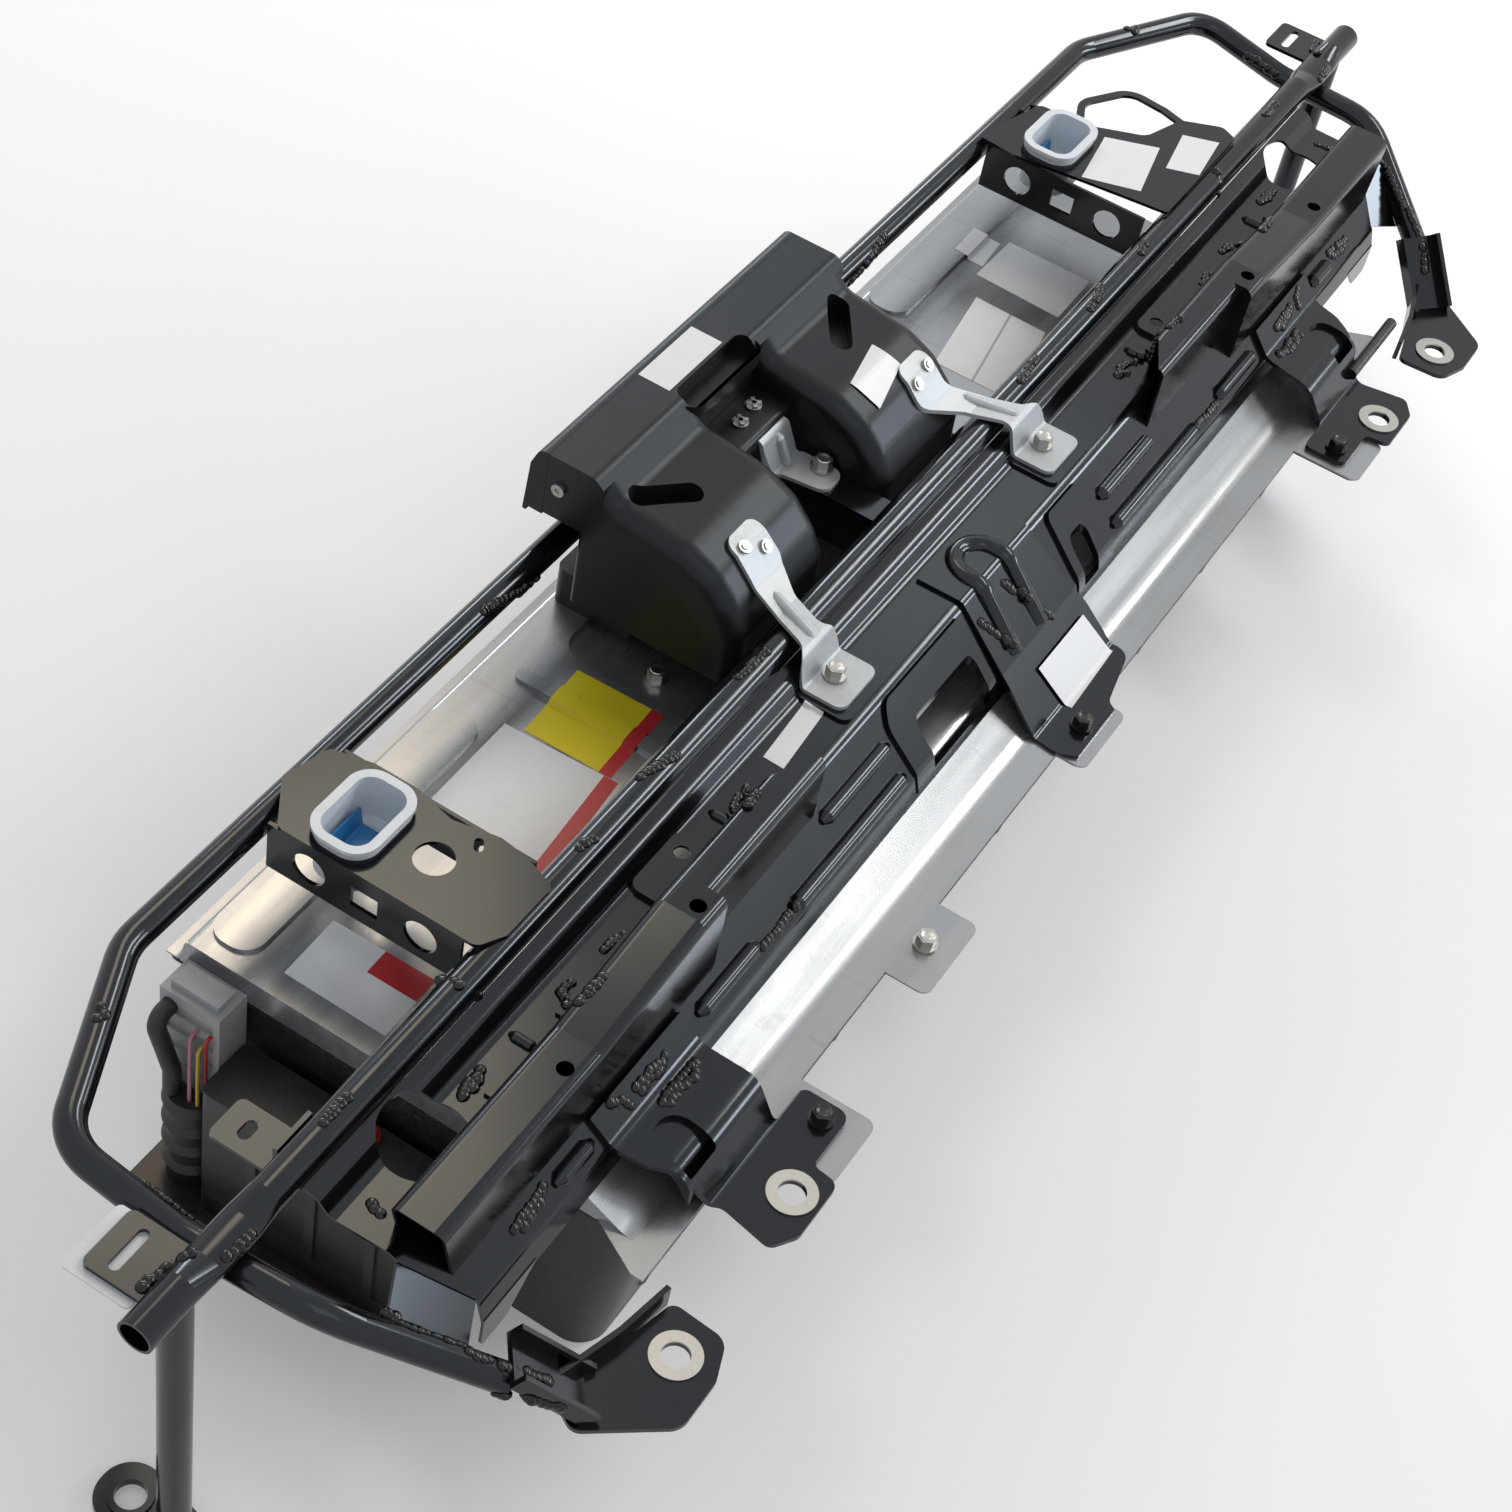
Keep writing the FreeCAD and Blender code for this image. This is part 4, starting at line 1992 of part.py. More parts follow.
def make_screws():
    shapes = []
    for point, out in screw_places():
        start = point + out * size("seat_gap")
        head = rod(start, start + out * 2.2, 8).cut(rod(start + out * 1.2, start + out * 3, 3.4))
        shapes.append(head.fuse(rod(start, start - out * 5, 3.6)))
    keep("duct_screws", Part.makeCompound(shapes))


def make_all():
    cross_space, loop_space = tube_space(size("seat_gap"))
    make_centre_tube()
    make_loop_tube()
    make_legs(cross_space)
    make_eye_plates()
    make_slot_plates()
    make_slot_tab()
    make_front_member(cross_space)
    make_gussets(loop_space)
    make_rails()
    make_saddle()
    make_mid_feet()
    make_corner_feet(loop_space)
    make_foot_rings()
    make_cup_brackets(cross_space, loop_space)
    make_cups()
    make_cover()
    make_seal()
    make_tray()
    make_modules()
    make_end_plates()
    make_bus_bars()
    make_relay_box()
    make_controller()
    make_end_box()
    make_connector()
    make_boot()
    make_wires()
    make_duct()
    make_rear_strip()
    make_chutes()
    make_bridge()
    make_strap_shelf()
    make_straps()
    make_rivets()
    make_bolts()
    make_screws()


def export_all():
    doc.recompute()
    for item in doc.Objects:
        if "Invalid" in item.State or "Error" in item.State:
            raise ValueError(f"{item.Name} failed: {item.State}")
    for piece in nodes:
        shape = piece.Shape
        if shape.isNull() or not shape.isValid() or not shape.Solids:
            raise ValueError(f"{piece.Label} has no valid solid")
    os.makedirs("parts", exist_ok=True)
    for piece in nodes:
        piece.Shape.exportStep(f"parts/{piece.Label}.step")


make_all()
export_all()
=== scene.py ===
import math
import random

import bmesh
import bpy
from bpy.props import FloatProperty, FloatVectorProperty, IntProperty, PointerProperty
from mathutils import Matrix, Vector
from mathutils.bvhtree import BVHTree


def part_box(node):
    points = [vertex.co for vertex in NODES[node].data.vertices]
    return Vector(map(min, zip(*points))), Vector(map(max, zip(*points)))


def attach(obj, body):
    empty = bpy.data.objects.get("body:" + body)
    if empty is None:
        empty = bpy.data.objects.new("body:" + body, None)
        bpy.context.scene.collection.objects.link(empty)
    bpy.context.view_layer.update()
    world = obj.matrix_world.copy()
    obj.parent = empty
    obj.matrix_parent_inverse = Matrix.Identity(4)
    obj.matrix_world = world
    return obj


bl_info = {
    "name": "Under-seat battery pack finish",
    "version": (1, 0, 0),
    "blender": (4, 5, 0),
    "location": "3D View > Sidebar > Battery pack",
    "description": "Dresses the packed battery and seat frame with its paints, welds, plates and stage",
    "category": "Object",
}

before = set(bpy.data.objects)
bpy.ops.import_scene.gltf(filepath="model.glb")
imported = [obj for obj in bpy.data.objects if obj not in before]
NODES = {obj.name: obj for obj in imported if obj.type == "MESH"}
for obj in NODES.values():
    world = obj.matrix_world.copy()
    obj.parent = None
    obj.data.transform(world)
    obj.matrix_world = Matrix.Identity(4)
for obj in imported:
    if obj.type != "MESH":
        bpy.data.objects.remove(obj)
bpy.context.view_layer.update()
MM = 0.001
# The cross tube's axis lies this many millimetres behind and above the part's origin
AXIS_Y = 18.0
AXIS_Z = 218.0

FRAME_NODES = (
    "centre_tube", "loop_tube", "left_leg", "right_leg", "left_eye_plate", "right_eye_plate",
    "left_slot_plate", "right_slot_plate", "slot_tab", "front_member", "left_rail", "right_rail",
    "left_gusset", "right_gusset", "centre_bracket", "left_mid_foot", "right_mid_foot",
    "left_corner_foot", "right_corner_foot", "left_cup_bracket", "right_cup_bracket", "strap_shelf",
)
ZINC_NODES = (
    "strap_bolts", "cover_bolts", "tray_bolt", "strap_rivets", "duct_screws", "foot_rings",
    "bridge_clips",
)

# The camera: its place in metres, its three directions and its focal length in
# pixels of the square picture
EYE = Vector((-1.1586, -0.4015, 1.3103))
RIGHT = Vector((0.51766, -0.84205, 0.15152))
UP = Vector((0.57518, 0.47361, 0.66696))
BACK = Vector((-0.63339, -0.25812, 0.72951))
PICTURE = 1512
FOCAL = 2841.08


def at(x, y, z):
    """Point in the part's frame, from millimetres about the cross tube's axis."""
    return Vector((x * MM, (y + AXIS_Y) * MM, (z + AXIS_Z) * MM))


# Weld beads as lines of pixels in the picture, each lying on the CAD surface behind it
WELDS = {
    "tube_welds": [
        [(100, 1006), (104, 1014), (98, 1018)],
        [(322, 1122), (334, 1110), (346, 1098)],
        [(154, 1178), (178, 1192), (198, 1206)],
        [(143, 1286), (166, 1270), (190, 1254)],
        [(228, 1257), (240, 1246), (252, 1235)],
        [(441, 979), (460, 985), (478, 996)],
        [(738, 676), (752, 664), (767, 651)],
        [(641, 776), (660, 765), (677, 754)],
        [(580, 847), (595, 838)],
        [(484, 611), (510, 598), (543, 586)],
    ],
    "band_welds": [
        [(733, 809), (739, 797), (749, 789), (756, 793), (748, 805), (733, 809)],
        [(566, 1004), (562, 993), (570, 983)],
        [(577, 1002), (590, 990), (603, 975)],
        [(605, 949), (614, 942), (624, 935)],
        [(462, 1096), (470, 1082), (480, 1071), (478, 1082), (462, 1096)],
        [(515, 1229), (528, 1208), (543, 1187), (540, 1202), (524, 1226)],
        [(764, 946), (780, 926), (797, 905)],
        [(370, 1204), (381, 1214)],
    ],
    "foot_welds": [
        [(636, 1086), (650, 1072), (665, 1057), (660, 1070), (642, 1088)],
        [(663, 1100), (680, 1080), (696, 1062), (692, 1076), (668, 1102)],
        [(612, 1104), (622, 1100), (630, 1106)],
        [(385, 1314), (420, 1330), (464, 1346)],
        [(496, 1396), (530, 1402), (562, 1408)],
        [(470, 1352), (510, 1368), (548, 1382)],
    ],
    "saddle_welds": [
        [(1003, 583), (1028, 598), (1052, 616)],
        [(981, 623), (998, 634), (1012, 645)],
    ],
}
# These are laid at the left end and mirrored to the right end
MIRRORED_WELDS = ("tube_welds", "band_welds", "foot_welds")

# A weld's ripples, as shares of its width: spacing, wander, radii, stretch and rise, and
# how far from its line the frame's surface may lie
RIPPLE_STEP = 0.55
RIPPLE_WANDER = 0.12
RIPPLE_RADII = (0.42, 0.6)
RIPPLE_STRETCH = 1.05
RIPPLE_RISE = 0.55
SEAT_REACH = 1.5
# Sight lines that pass beside the frame: their nearest and farthest spot and their
# step in metres, and how far from them the surface is looked for
SIGHT_NEAR = 0.8
SIGHT_FAR = 2.6
SIGHT_STEP = 0.002
SIGHT_REACH = 0.012

# Painted cool reflection: a slight blue tint on the gloss of the black paint and the black plastic, which
# stands in for cool room light
PAINTED_COOL_REFLECTION = (0.82, 0.91, 1.0)

# Bare plates: what carries each one, its corners in plan in millimetres and which field
# of colour covers a spot of it, from the shares u of its width and v of its height
WHITE, YELLOW, RED, GREY = range(4)


def plain(u, v):
    return WHITE


def yellow_red(u, v):
    return RED if u > 0.86 else YELLOW


def white_red(u, v):
    return RED if u > 0.88 else WHITE


def part_red(u, v):
    return RED if u > 0.52 and v < 0.4 else WHITE


def split(u, v):
    return GREY if 0.48 < u < 0.52 else WHITE


PLATES = (
    ("yellow_plate", "battery_cover",
     ((-165.8, 102.9), (-164, 45.3), (-222.3, 42.8), (-223.1, 100.1)), yellow_red),
    ("red_edged_plate", "battery_cover",
     ((-225.9, 111), (-222.7, 37.5), (-304.3, 30.3), (-296.3, 110.1)), white_red),
    ("left_plate", "battery_cover",
     ((-394.9, 100.1), (-394, 36.1), (-437.7, 35.5), (-437.2, 99)), part_red),
    ("right_plate", "battery_cover",
     ((360.5, 101.2), (360.5, 38.4), (310.8, 37.4), (313.3, 101.8)), plain),
    ("small_plate", "battery_cover",
     ((354.2, 126.4), (354.5, 105.3), (323.4, 102.7), (324.4, 125.2)), plain),
    ("wide_plate", "battery_cover",
     ((291.5, 90), (290.4, 36.6), (213.4, 22.6), (213.2, 78.6)), split),
    ("duct_roof_plate", "duct_housing",
     ((-6, 148), (-6, 127), (-62, 127), (-62, 148)), plain),
    ("duct_lobe_plate", "duct_housing",
     ((72.7, 68.3), (75, 48.6), (36.5, 40), (34.7, 60.9)), plain),
    ("bracket_plate", "right_cup_bracket",
     ((411.9, 73.1), (427.7, 38.7), (374, 27), (360, 64.5)), plain),
    ("wing_plate", "right_cup_bracket",
     ((453, 33.3), (463, 10), (419, 4.5), (410, 25.5)), plain),
    ("band_plate", "front_member",
     ((-149.2, -29), (-150.4, -41.6), (-198.3, -45.2), (-197.9, -32.1)), plain),
    ("saddle_plate", "centre_bracket",
     ((62, -107), (68, -130), (9, -132), (4, -107)), plain),
)
# Cells along and across a plate, which let it follow the sheet under it
PLATE_COLUMNS = 64
PLATE_ROWS = 36
# How far around a spot a plate bridges the sheet's small grooves, in metres
PLATE_BRIDGE = 0.002
# How much of its lift a plate's edge reaches down
SKIRT_SHARE = 0.8
# Brightness of the dust on a plate, as a share of the plate's own colour
DUSTED_SHARE = 0.8
# Height in metres from which plates and crowns are laid, and the least upright share of
# a sheet's normal that still sets the lift over it
ABOVE_ALL = 0.6
LEAST_UPRIGHT = 0.3

# Crowns on the bolt heads: each group's carriers, finish and bolt places in plan, and
# the radius and rise of a crown's rings, in millimetres
CROWNS = (
    ("zinc_crowns", ("strap_bolts", "cover_bolts", "tray_bolt"), "zinc_plate",
     ((-125, -33), (125, -33), (6, 55), (-140, 66), (140, 66), (-200, -149))),
    ("black_crowns", ("foot_bolts",), "dipped_bolt",
     ((-336, -163), (336, -163), (0, -143))),
)
CROWN_RINGS = ((4.5, 0.0), (4.3, 0.35), (3.9, 0.55), (3.3, 0.5), (2.7, 0.2), (1.4, 0.1))
CROWN_MIDDLE = 0.08
CROWN_SIDES = 24

# Soft lamps: place and target in metres, sides in metres, power in watts and colour
LAMPS = (
    ("key_lamp", (-1.6, -1.4, 3.0), (0, 0, 0.15), (1.6, 1.6), 6.0, (1.0, 0.98, 0.95)),
    ("top_strip", (2.15, -1.15, 2.5), (0, 0, 0.2), (1.8, 0.36), 34.0, (1.0, 0.97, 0.92)),
    ("rear_strip", (2.0, 2.1, 1.55), (0, 0, 0.2), (1.8, 0.36), 27.0, (0.86, 0.93, 1.0)),
    ("front_strip", (2.2, -2.4, 1.25), (0, 0, 0.15), (1.8, 0.36), 32.0, (0.88, 0.94, 1.0)),
    ("warm_panel", (0.98, 1.23, 2.76), (-0.5, 0.1, 0.15), (0.9, 0.9), 11.0, (1.0, 0.8, 0.56)),
    ("cool_panel", (2.24, 0.78, 2.35), (0, 0, 0.2), (0.5, 0.5), 0.9, (0.84, 0.92, 1.0)),
)
# The floor's own light for the background, which grows between two distances from the
# centre, in metres, because the lamps don't reach far off
FLOOR_GLOW = (0.15, 0.56)
FLOOR_GLOW_SPAN = (1.0, 5.0)


# Sizes and colours that a user would change


class FrameFinish(bpy.types.PropertyGroup):
    paint: FloatVectorProperty(
        name="Frame paint", description="Colour of the frame's dip coat", subtype="COLOR",
        size=3, min=0, max=1, default=(0.004, 0.004, 0.005))
    paint_dust: FloatVectorProperty(
        name="Paint dust", description="Colour of the thin dust that lies on the paint", subtype="COLOR",
        size=3, min=0, max=1, default=(0.012, 0.0115, 0.012))
    gloss: FloatProperty(
        name="Paint roughness", description="Roughness of clean paint", min=0.02, max=1,
        default=0.15, subtype="FACTOR")
    weld_width: FloatProperty(
        name="Weld width", description="Width of a weld bead in millimetres", min=1, max=12, default=6.2)
    weld_seed: IntProperty(
        name="Weld seed", description="Start of the uneven lumps along the welds", min=0, default=7)


class CoverFinish(bpy.types.PropertyGroup):
    sheet: FloatVectorProperty(
        name="Cover sheet", description="Colour of the bright cover", subtype="COLOR",
        size=3, min=0, max=1, default=(0.33, 0.345, 0.36))
    sheet_worn: FloatVectorProperty(
        name="Cover stain", description="Colour of stains on the bright cover", subtype="COLOR",
        size=3, min=0, max=1, default=(0.2, 0.2, 0.195))
    tray: FloatVectorProperty(
        name="Tray coat", description="Colour of the tray's dull coat", subtype="COLOR",
        size=3, min=0, max=1, default=(0.022, 0.019, 0.016))


class DuctFinish(bpy.types.PropertyGroup):
    plastic: FloatVectorProperty(
        name="Duct plastic", description="Colour of the moulded duct", subtype="COLOR",
        size=3, min=0, max=1, default=(0.008, 0.009, 0.01))
    strap: FloatVectorProperty(
        name="Strap paint", description="Colour of the duct's straps", subtype="COLOR",
        size=3, min=0, max=1, default=(0.5, 0.53, 0.55))


class PlateFinish(bpy.types.PropertyGroup):
    paper: FloatVectorProperty(
        name="Plate ground", description="Ground colour of the bare plates", subtype="COLOR",
        size=3, min=0, max=1, default=(0.82, 0.83, 0.84))
    lift: FloatProperty(
        name="Plate lift", description="Height of a plate over its sheet in millimetres",
        min=0.05, max=1, default=0.25)


class StageSizes(bpy.types.PropertyGroup):
    lens: FloatProperty(
        name="Lens", description="Focal length of the camera in millimetres", min=10, max=300,
        default=67.64)
    floor_half: FloatProperty(
        name="Floor half width", description="Half the width of the floor", min=2, max=60,
        default=14, unit="LENGTH")
    room_light: FloatProperty(
        name="Room light", description="Strength of the even light from all around", min=0, max=2,
        default=0.38)


# Shared effects: colours, masks and heights that change over the surface


def effect_group(name, inputs, outputs):
    tree = bpy.data.node_groups.new(name, "ShaderNodeTree")
    tree.interface.new_socket(name="Place", in_out="INPUT", socket_type="NodeSocketVector")
    for word, value in inputs:
        socket = tree.interface.new_socket(name=word, in_out="INPUT", socket_type="NodeSocketFloat")
        socket.default_value = value
    for word in outputs:
        tree.interface.new_socket(name=word, in_out="OUTPUT", socket_type="NodeSocketFloat")
    return tree, tree.nodes.new("NodeGroupInput"), tree.nodes.new("NodeGroupOutput")


def noise_node(tree, place, scale, detail=3.0, rough=0.55):
    node = tree.nodes.new("ShaderNodeTexNoise")
    node.inputs["Detail"].default_value = detail
    node.inputs["Roughness"].default_value = rough
    tree.links.new(place, node.inputs["Vector"])
    if isinstance(scale, (int, float)):
        node.inputs["Scale"].default_value = scale
    else:
        tree.links.new(scale, node.inputs["Scale"])
    return node.outputs["Fac"]


def ranged(tree, value, low, high, to_low=0.0, to_high=1.0):
    node = tree.nodes.new("ShaderNodeMapRange")
    node.clamp = True
    for word, number in (("From Min", low), ("From Max", high), ("To Min", to_low), ("To Max", to_high)):
        if isinstance(number, (int, float)):
            node.inputs[word].default_value = number
        else:
            tree.links.new(number, node.inputs[word])
    tree.links.new(value, node.inputs["Value"])
    return node.outputs["Result"]


def maths(tree, kind, first, second):
    node = tree.nodes.new("ShaderNodeMath")
    node.operation = kind
    for index, number in enumerate((first, second)):
        if isinstance(number, (int, float)):
            node.inputs[index].default_value = number
        else:
            tree.links.new(number, node.inputs[index])
    return node.outputs[0]


def stretched(tree, place, scale):
    node = tree.nodes.new("ShaderNodeMapping")
    node.inputs["Scale"].default_value = scale
    tree.links.new(place, node.inputs["Vector"])
    return node.outputs["Vector"]


def make_dust_group():
    """Uneven dust and handling marks: broad patches broken up by fine specks."""
    tree, entry, leave = effect_group(
        "dust_and_marks", [("Patch", 14.0), ("Speck", 420.0), ("Cover", 0.5)], ["Mask"])
    place = entry.outputs["Place"]
    patches = ranged(tree, noise_node(tree, place, entry.outputs["Patch"], 4.0), 0.42, 0.68)
    specks = ranged(tree, noise_node(tree, place, entry.outputs["Speck"], 2.0), 0.45, 0.62, 0.25, 1.0)
    mixed = maths(tree, "MULTIPLY", patches, specks)
    tree.links.new(maths(tree, "MULTIPLY", mixed, entry.outputs["Cover"]), leave.inputs["Mask"])
    return tree


def make_grain_group():
    """Fine skin of paint, moulding or rolled sheet."""
    tree, entry, leave = effect_group(
        "fine_grain", [("Scale", 500.0), ("Wave", 60.0), ("Mix", 0.5)], ["Height"])
    place = entry.outputs["Place"]
    fine = noise_node(tree, place, entry.outputs["Scale"], 2.0)
    broad = noise_node(tree, place, entry.outputs["Wave"], 2.0)
    part = maths(tree, "MULTIPLY", broad, entry.outputs["Mix"])
    tree.links.new(maths(tree, "ADD", fine, part), leave.inputs["Height"])
    return tree


def make_streak_group():
    """Rolling streaks and light scratches that run along the frame."""
    tree, entry, leave = effect_group("rolled_streaks", [("Scale", 60.0)], ["Streak", "Scratch"])
    place = entry.outputs["Place"]
    long_place = stretched(tree, place, (0.06, 1.0, 1.0))
    cross_place = stretched(tree, place, (1.0, 0.07, 0.6))
    tree.links.new(noise_node(tree, long_place, entry.outputs["Scale"], 4.0), leave.inputs["Streak"])
    scratch = noise_node(tree, cross_place, 180.0, 2.0, 0.4)
    tree.links.new(ranged(tree, scratch, 0.66, 0.72), leave.inputs["Scratch"])
    return tree


def seen_rays(tree):
    """1 on the rays that show the background: from the camera, off gloss and through glass."""
    path = tree.nodes.new("ShaderNodeLightPath")
    seen = maths(tree, "MAXIMUM", path.outputs["Is Camera Ray"], path.outputs["Is Glossy Ray"])
    return maths(tree, "MAXIMUM", seen, path.outputs["Is Transmission Ray"])


class Finish:
    """A material with one shader, whose uneven parts come from the shared effects."""

    def __init__(self, name, metallic=0.0, specular=0.5):
        self.material = bpy.data.materials.new(name)
        self.material.use_nodes = True
        self.tree = self.material.node_tree
        self.tree.nodes.clear()
        out = self.tree.nodes.new("ShaderNodeOutputMaterial")
        self.shader = self.tree.nodes.new("ShaderNodeBsdfPrincipled")
        self.tree.links.new(self.shader.outputs["BSDF"], out.inputs["Surface"])
        self.put("Metallic", metallic)
        self.put("Specular IOR Level", specular)
        self.place = self.tree.nodes.new("ShaderNodeTexCoord").outputs["Object"]

    def put(self, socket, value):
        self.shader.inputs[socket].default_value = value

    def effect(self, group, **values):
        node = self.tree.nodes.new("ShaderNodeGroup")
        node.node_tree = bpy.data.node_groups[group]
        self.tree.links.new(self.place, node.inputs["Place"])
        for word, value in values.items():
            node.inputs[word].default_value = value
        return node.outputs

    def mixed_colour(self, mask, first, second):
        node = self.tree.nodes.new("ShaderNodeMix")
        node.data_type = "RGBA"
        node.inputs["A"].default_value = (*first, 1)
        node.inputs["B"].default_value = (*second, 1)
        self.tree.links.new(mask, node.inputs["Factor"])
        return node.outputs["Result"]

    def feed(self, socket, output):
        self.tree.links.new(output, self.shader.inputs[socket])

    def bump(self, height, strength, distance):
        node = self.tree.nodes.new("ShaderNodeBump")
        node.inputs["Strength"].default_value = strength
        node.inputs["Distance"].default_value = distance
        self.tree.links.new(height, node.inputs["Height"])
        self.feed("Normal", node.outputs["Normal"])

    def range(self, value, low, high, to_low, to_high):
        return ranged(self.tree, value, low, high, to_low, to_high)


def painted_finish(name, clean, dusty, roughness, dull, cover=0.5, metallic=0.0,
                   grain=500.0, relief=0.05, depth=0.0002, patch=14.0, speck=420.0, specular=0.5,
                   tint=(1.0, 1.0, 1.0)):
    """Paint or plastic with dust, uneven gloss and a fine skin."""
    made = Finish(name, metallic=metallic, specular=specular)
    # Tint of the reflections; a cool tint passed here is a painted reflection colour that stands in for
    # cool room light
    made.put("Specular Tint", (*tint, 1))
    dust = made.effect("dust_and_marks", Patch=patch, Speck=speck, Cover=cover)["Mask"]
    made.feed("Base Color", made.mixed_colour(dust, clean, dusty))
    made.feed("Roughness", made.range(dust, 0.0, 1.0, roughness, dull))
    made.bump(made.effect("fine_grain", Scale=grain)["Height"], relief, depth)
    return made.material


def sheet_finish(name, clean, stained, roughness, dull):
    """Bright rolled sheet with streaks, stains and light scratches."""
    made = Finish(name, metallic=0.75)
    streaks = made.effect("rolled_streaks")
    dust = made.effect("dust_and_marks", Patch=7.0, Speck=30.0, Cover=0.35)["Mask"]
    stain = maths(made.tree, "ADD", dust, maths(made.tree, "MULTIPLY", streaks["Scratch"], 0.2))
    made.feed("Base Color", made.mixed_colour(stain, clean, stained))
    rough = maths(made.tree, "ADD", made.range(streaks["Streak"], 0.3, 0.7, roughness, dull),
                  maths(made.tree, "MULTIPLY", dust, 0.15))
    made.feed("Roughness", rough)
    height = maths(made.tree, "ADD", made.effect("fine_grain", Scale=40.0, Wave=9.0, Mix=2.5)["Height"],
                   maths(made.tree, "MULTIPLY", streaks["Streak"], 0.2))
    made.bump(height, 0.045, 0.001)
    return made.material


def dress(names, material):
    for name in names:
        data = NODES[name].data
        data.materials.clear()
        data.materials.append(material)


def finish_of(name):
    return bpy.data.materials[name]


# Meshes


def piece_from(name, mesh_maker, materials, smooth=True):
    """New piece in the part's frame that rides on the frame's one body."""
    mesh = bpy.data.meshes.new(name)
    bm = bmesh.new()
    mesh_maker(bm)
    for face in bm.faces:
        face.smooth = smooth
    bm.to_mesh(mesh)
    bm.free()
    piece = bpy.data.objects.new(name, mesh)
    bpy.context.scene.collection.objects.link(piece)
    for material in materials:
        mesh.materials.append(material)
    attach(piece, "root")
    return piece


def lump(bm, centre, along, up, length, width, height):
    """One ripple of a weld: a low dome."""
    side = along.cross(up).normalized()
    up = side.cross(along).normalized()
    turn = Matrix((along, side, up)).transposed().to_4x4()
    size = Matrix.Diagonal((length, width, height, 1))
    bmesh.ops.create_icosphere(bm, subdivisions=2, radius=1.0,
                               matrix=Matrix.Translation(centre) @ turn @ size)


def weld_line(bm, chance, tree, points, width):
    """Row of overlapping ripples along a line of points, each seated on the frame's surface."""
    for start, end in zip(points, points[1:]):
        run = end - start
        count = max(1, round(run.length / (width * RIPPLE_STEP)))
        along = run.normalized()
        for step in range(count + 1):
            wander = Vector([chance.uniform(-RIPPLE_WANDER, RIPPLE_WANDER) * width for _ in range(3)])
            size = width * chance.uniform(*RIPPLE_RADII)
            spot = start + run * (step / count) + wander
            seat, up, _, _ = tree.find_nearest(spot, SEAT_REACH * width)
            if seat is not None:
                lump(bm, seat, along, up, size * RIPPLE_STRETCH, size, size * RIPPLE_RISE)


def sighted(tree, column, row):
    """Point of the surface behind a pixel of the picture, or nearest to its line of sight."""
    half = PICTURE / 2
    ray = (RIGHT * ((column - half) / FOCAL) + UP * ((half - row) / FOCAL) - BACK).normalized()
    hit, _, _, _ = tree.ray_cast(EYE, ray)
    if hit is not None:
        return hit
    seats = []
    for step in range(round(SIGHT_NEAR / SIGHT_STEP), round(SIGHT_FAR / SIGHT_STEP)):
        seat, _, _, gap = tree.find_nearest(EYE + ray * (step * SIGHT_STEP), SIGHT_REACH)
        if seat is not None:
            seats.append((gap, seat))
    if not seats:
        raise ValueError(f"nothing lies near pixel {column}, {row}")
    return min(seats, key=lambda pair: pair[0])[1]


def surface_tree(names):
    """Search tree over CAD nodes, to lay plates and welds on them."""
    corners = []
    polygons = []
    for name in names:
        data = NODES[name].data
        first = len(corners)
        corners.extend(vertex.co.copy() for vertex in data.vertices)
        polygons.extend([first + index for index in face.vertices] for face in data.polygons)
    return BVHTree.FromPolygons(corners, polygons)


def laid_point(tree, x, y, lift, reach=0.0):
    """Point just above the highest spot of a sheet around a plan place."""
    spots = [(0, 0), (reach, 0), (-reach, 0), (0, reach), (0, -reach)]
    found = []
    for right, back in spots:
        hit, normal, _, _ = tree.ray_cast(Vector((x + right, y + back, ABOVE_ALL)), Vector((0, 0, -1)))
        if hit is not None:
            found.append((hit.z, abs(normal.z)))
    if not found:
        raise ValueError("a plate hangs over nothing")
    height, upright = max(found)
    return Vector((x, y, height + lift / max(upright, LEAST_UPRIGHT)))


def bare_plate(name, carrier, corners, columns, rows, chooser, materials):
    """Thin plate laid on a sheet, its fields of colour chosen for each cell."""
    tree = surface_tree((carrier,))
    lift = bpy.context.scene.plate_finish.lift * MM
    plan = [at(x, y, 0) for x, y in corners]

    def build(bm):
        grid = []
        for v in rows:
            line = []
            for u in columns:
                low = plan[0].lerp(plan[1], u)
                high = plan[3].lerp(plan[2], u)
                spot = low.lerp(high, v)
                line.append(bm.verts.new(laid_point(tree, spot.x, spot.y, lift, PLATE_BRIDGE)))
            grid.append(line)
        for j in range(len(rows) - 1):
            for i in range(len(columns) - 1):
                face = bm.faces.new((grid[j][i], grid[j][i + 1], grid[j + 1][i + 1], grid[j + 1][i]))
                face.material_index = chooser(
                    (columns[i] + columns[i + 1]) / 2, (rows[j] + rows[j + 1]) / 2)
        bmesh.ops.recalc_face_normals(bm, faces=bm.faces)
        if sum(face.normal.z for face in bm.faces) < 0:
            bmesh.ops.reverse_faces(bm, faces=bm.faces)
        edge = [e for e in bm.edges if e.is_boundary]
        made = bmesh.ops.extrude_edge_only(bm, edges=edge)
        skirt = [part for part in made["geom"] if isinstance(part, bmesh.types.BMVert)]
        bmesh.ops.translate(bm, verts=skirt, vec=(0, 0, -SKIRT_SHARE * lift))

    return piece_from(name, build, materials, smooth=False)


def steps(count):
    """Even steps from 0 to 1."""
    return [index / count for index in range(count + 1)]


def rounded_corners(low, high, radius, count=6):
    """Plan outline of a rectangle with round corners, in metres, turned anticlockwise."""
    outline = []
    centres = ((high[0] - radius, high[1] - radius), (low[0] + radius, high[1] - radius),
               (low[0] + radius, low[1] + radius), (high[0] - radius, low[1] + radius))
    for quarter, (x, y) in enumerate(centres):
        for index in range(count + 1):
            angle = (quarter + index / count) * math.pi / 2
            spot = at(x + radius * math.cos(angle), y + radius * math.sin(angle), 0)
            outline.append((spot.x, spot.y))
    return outline


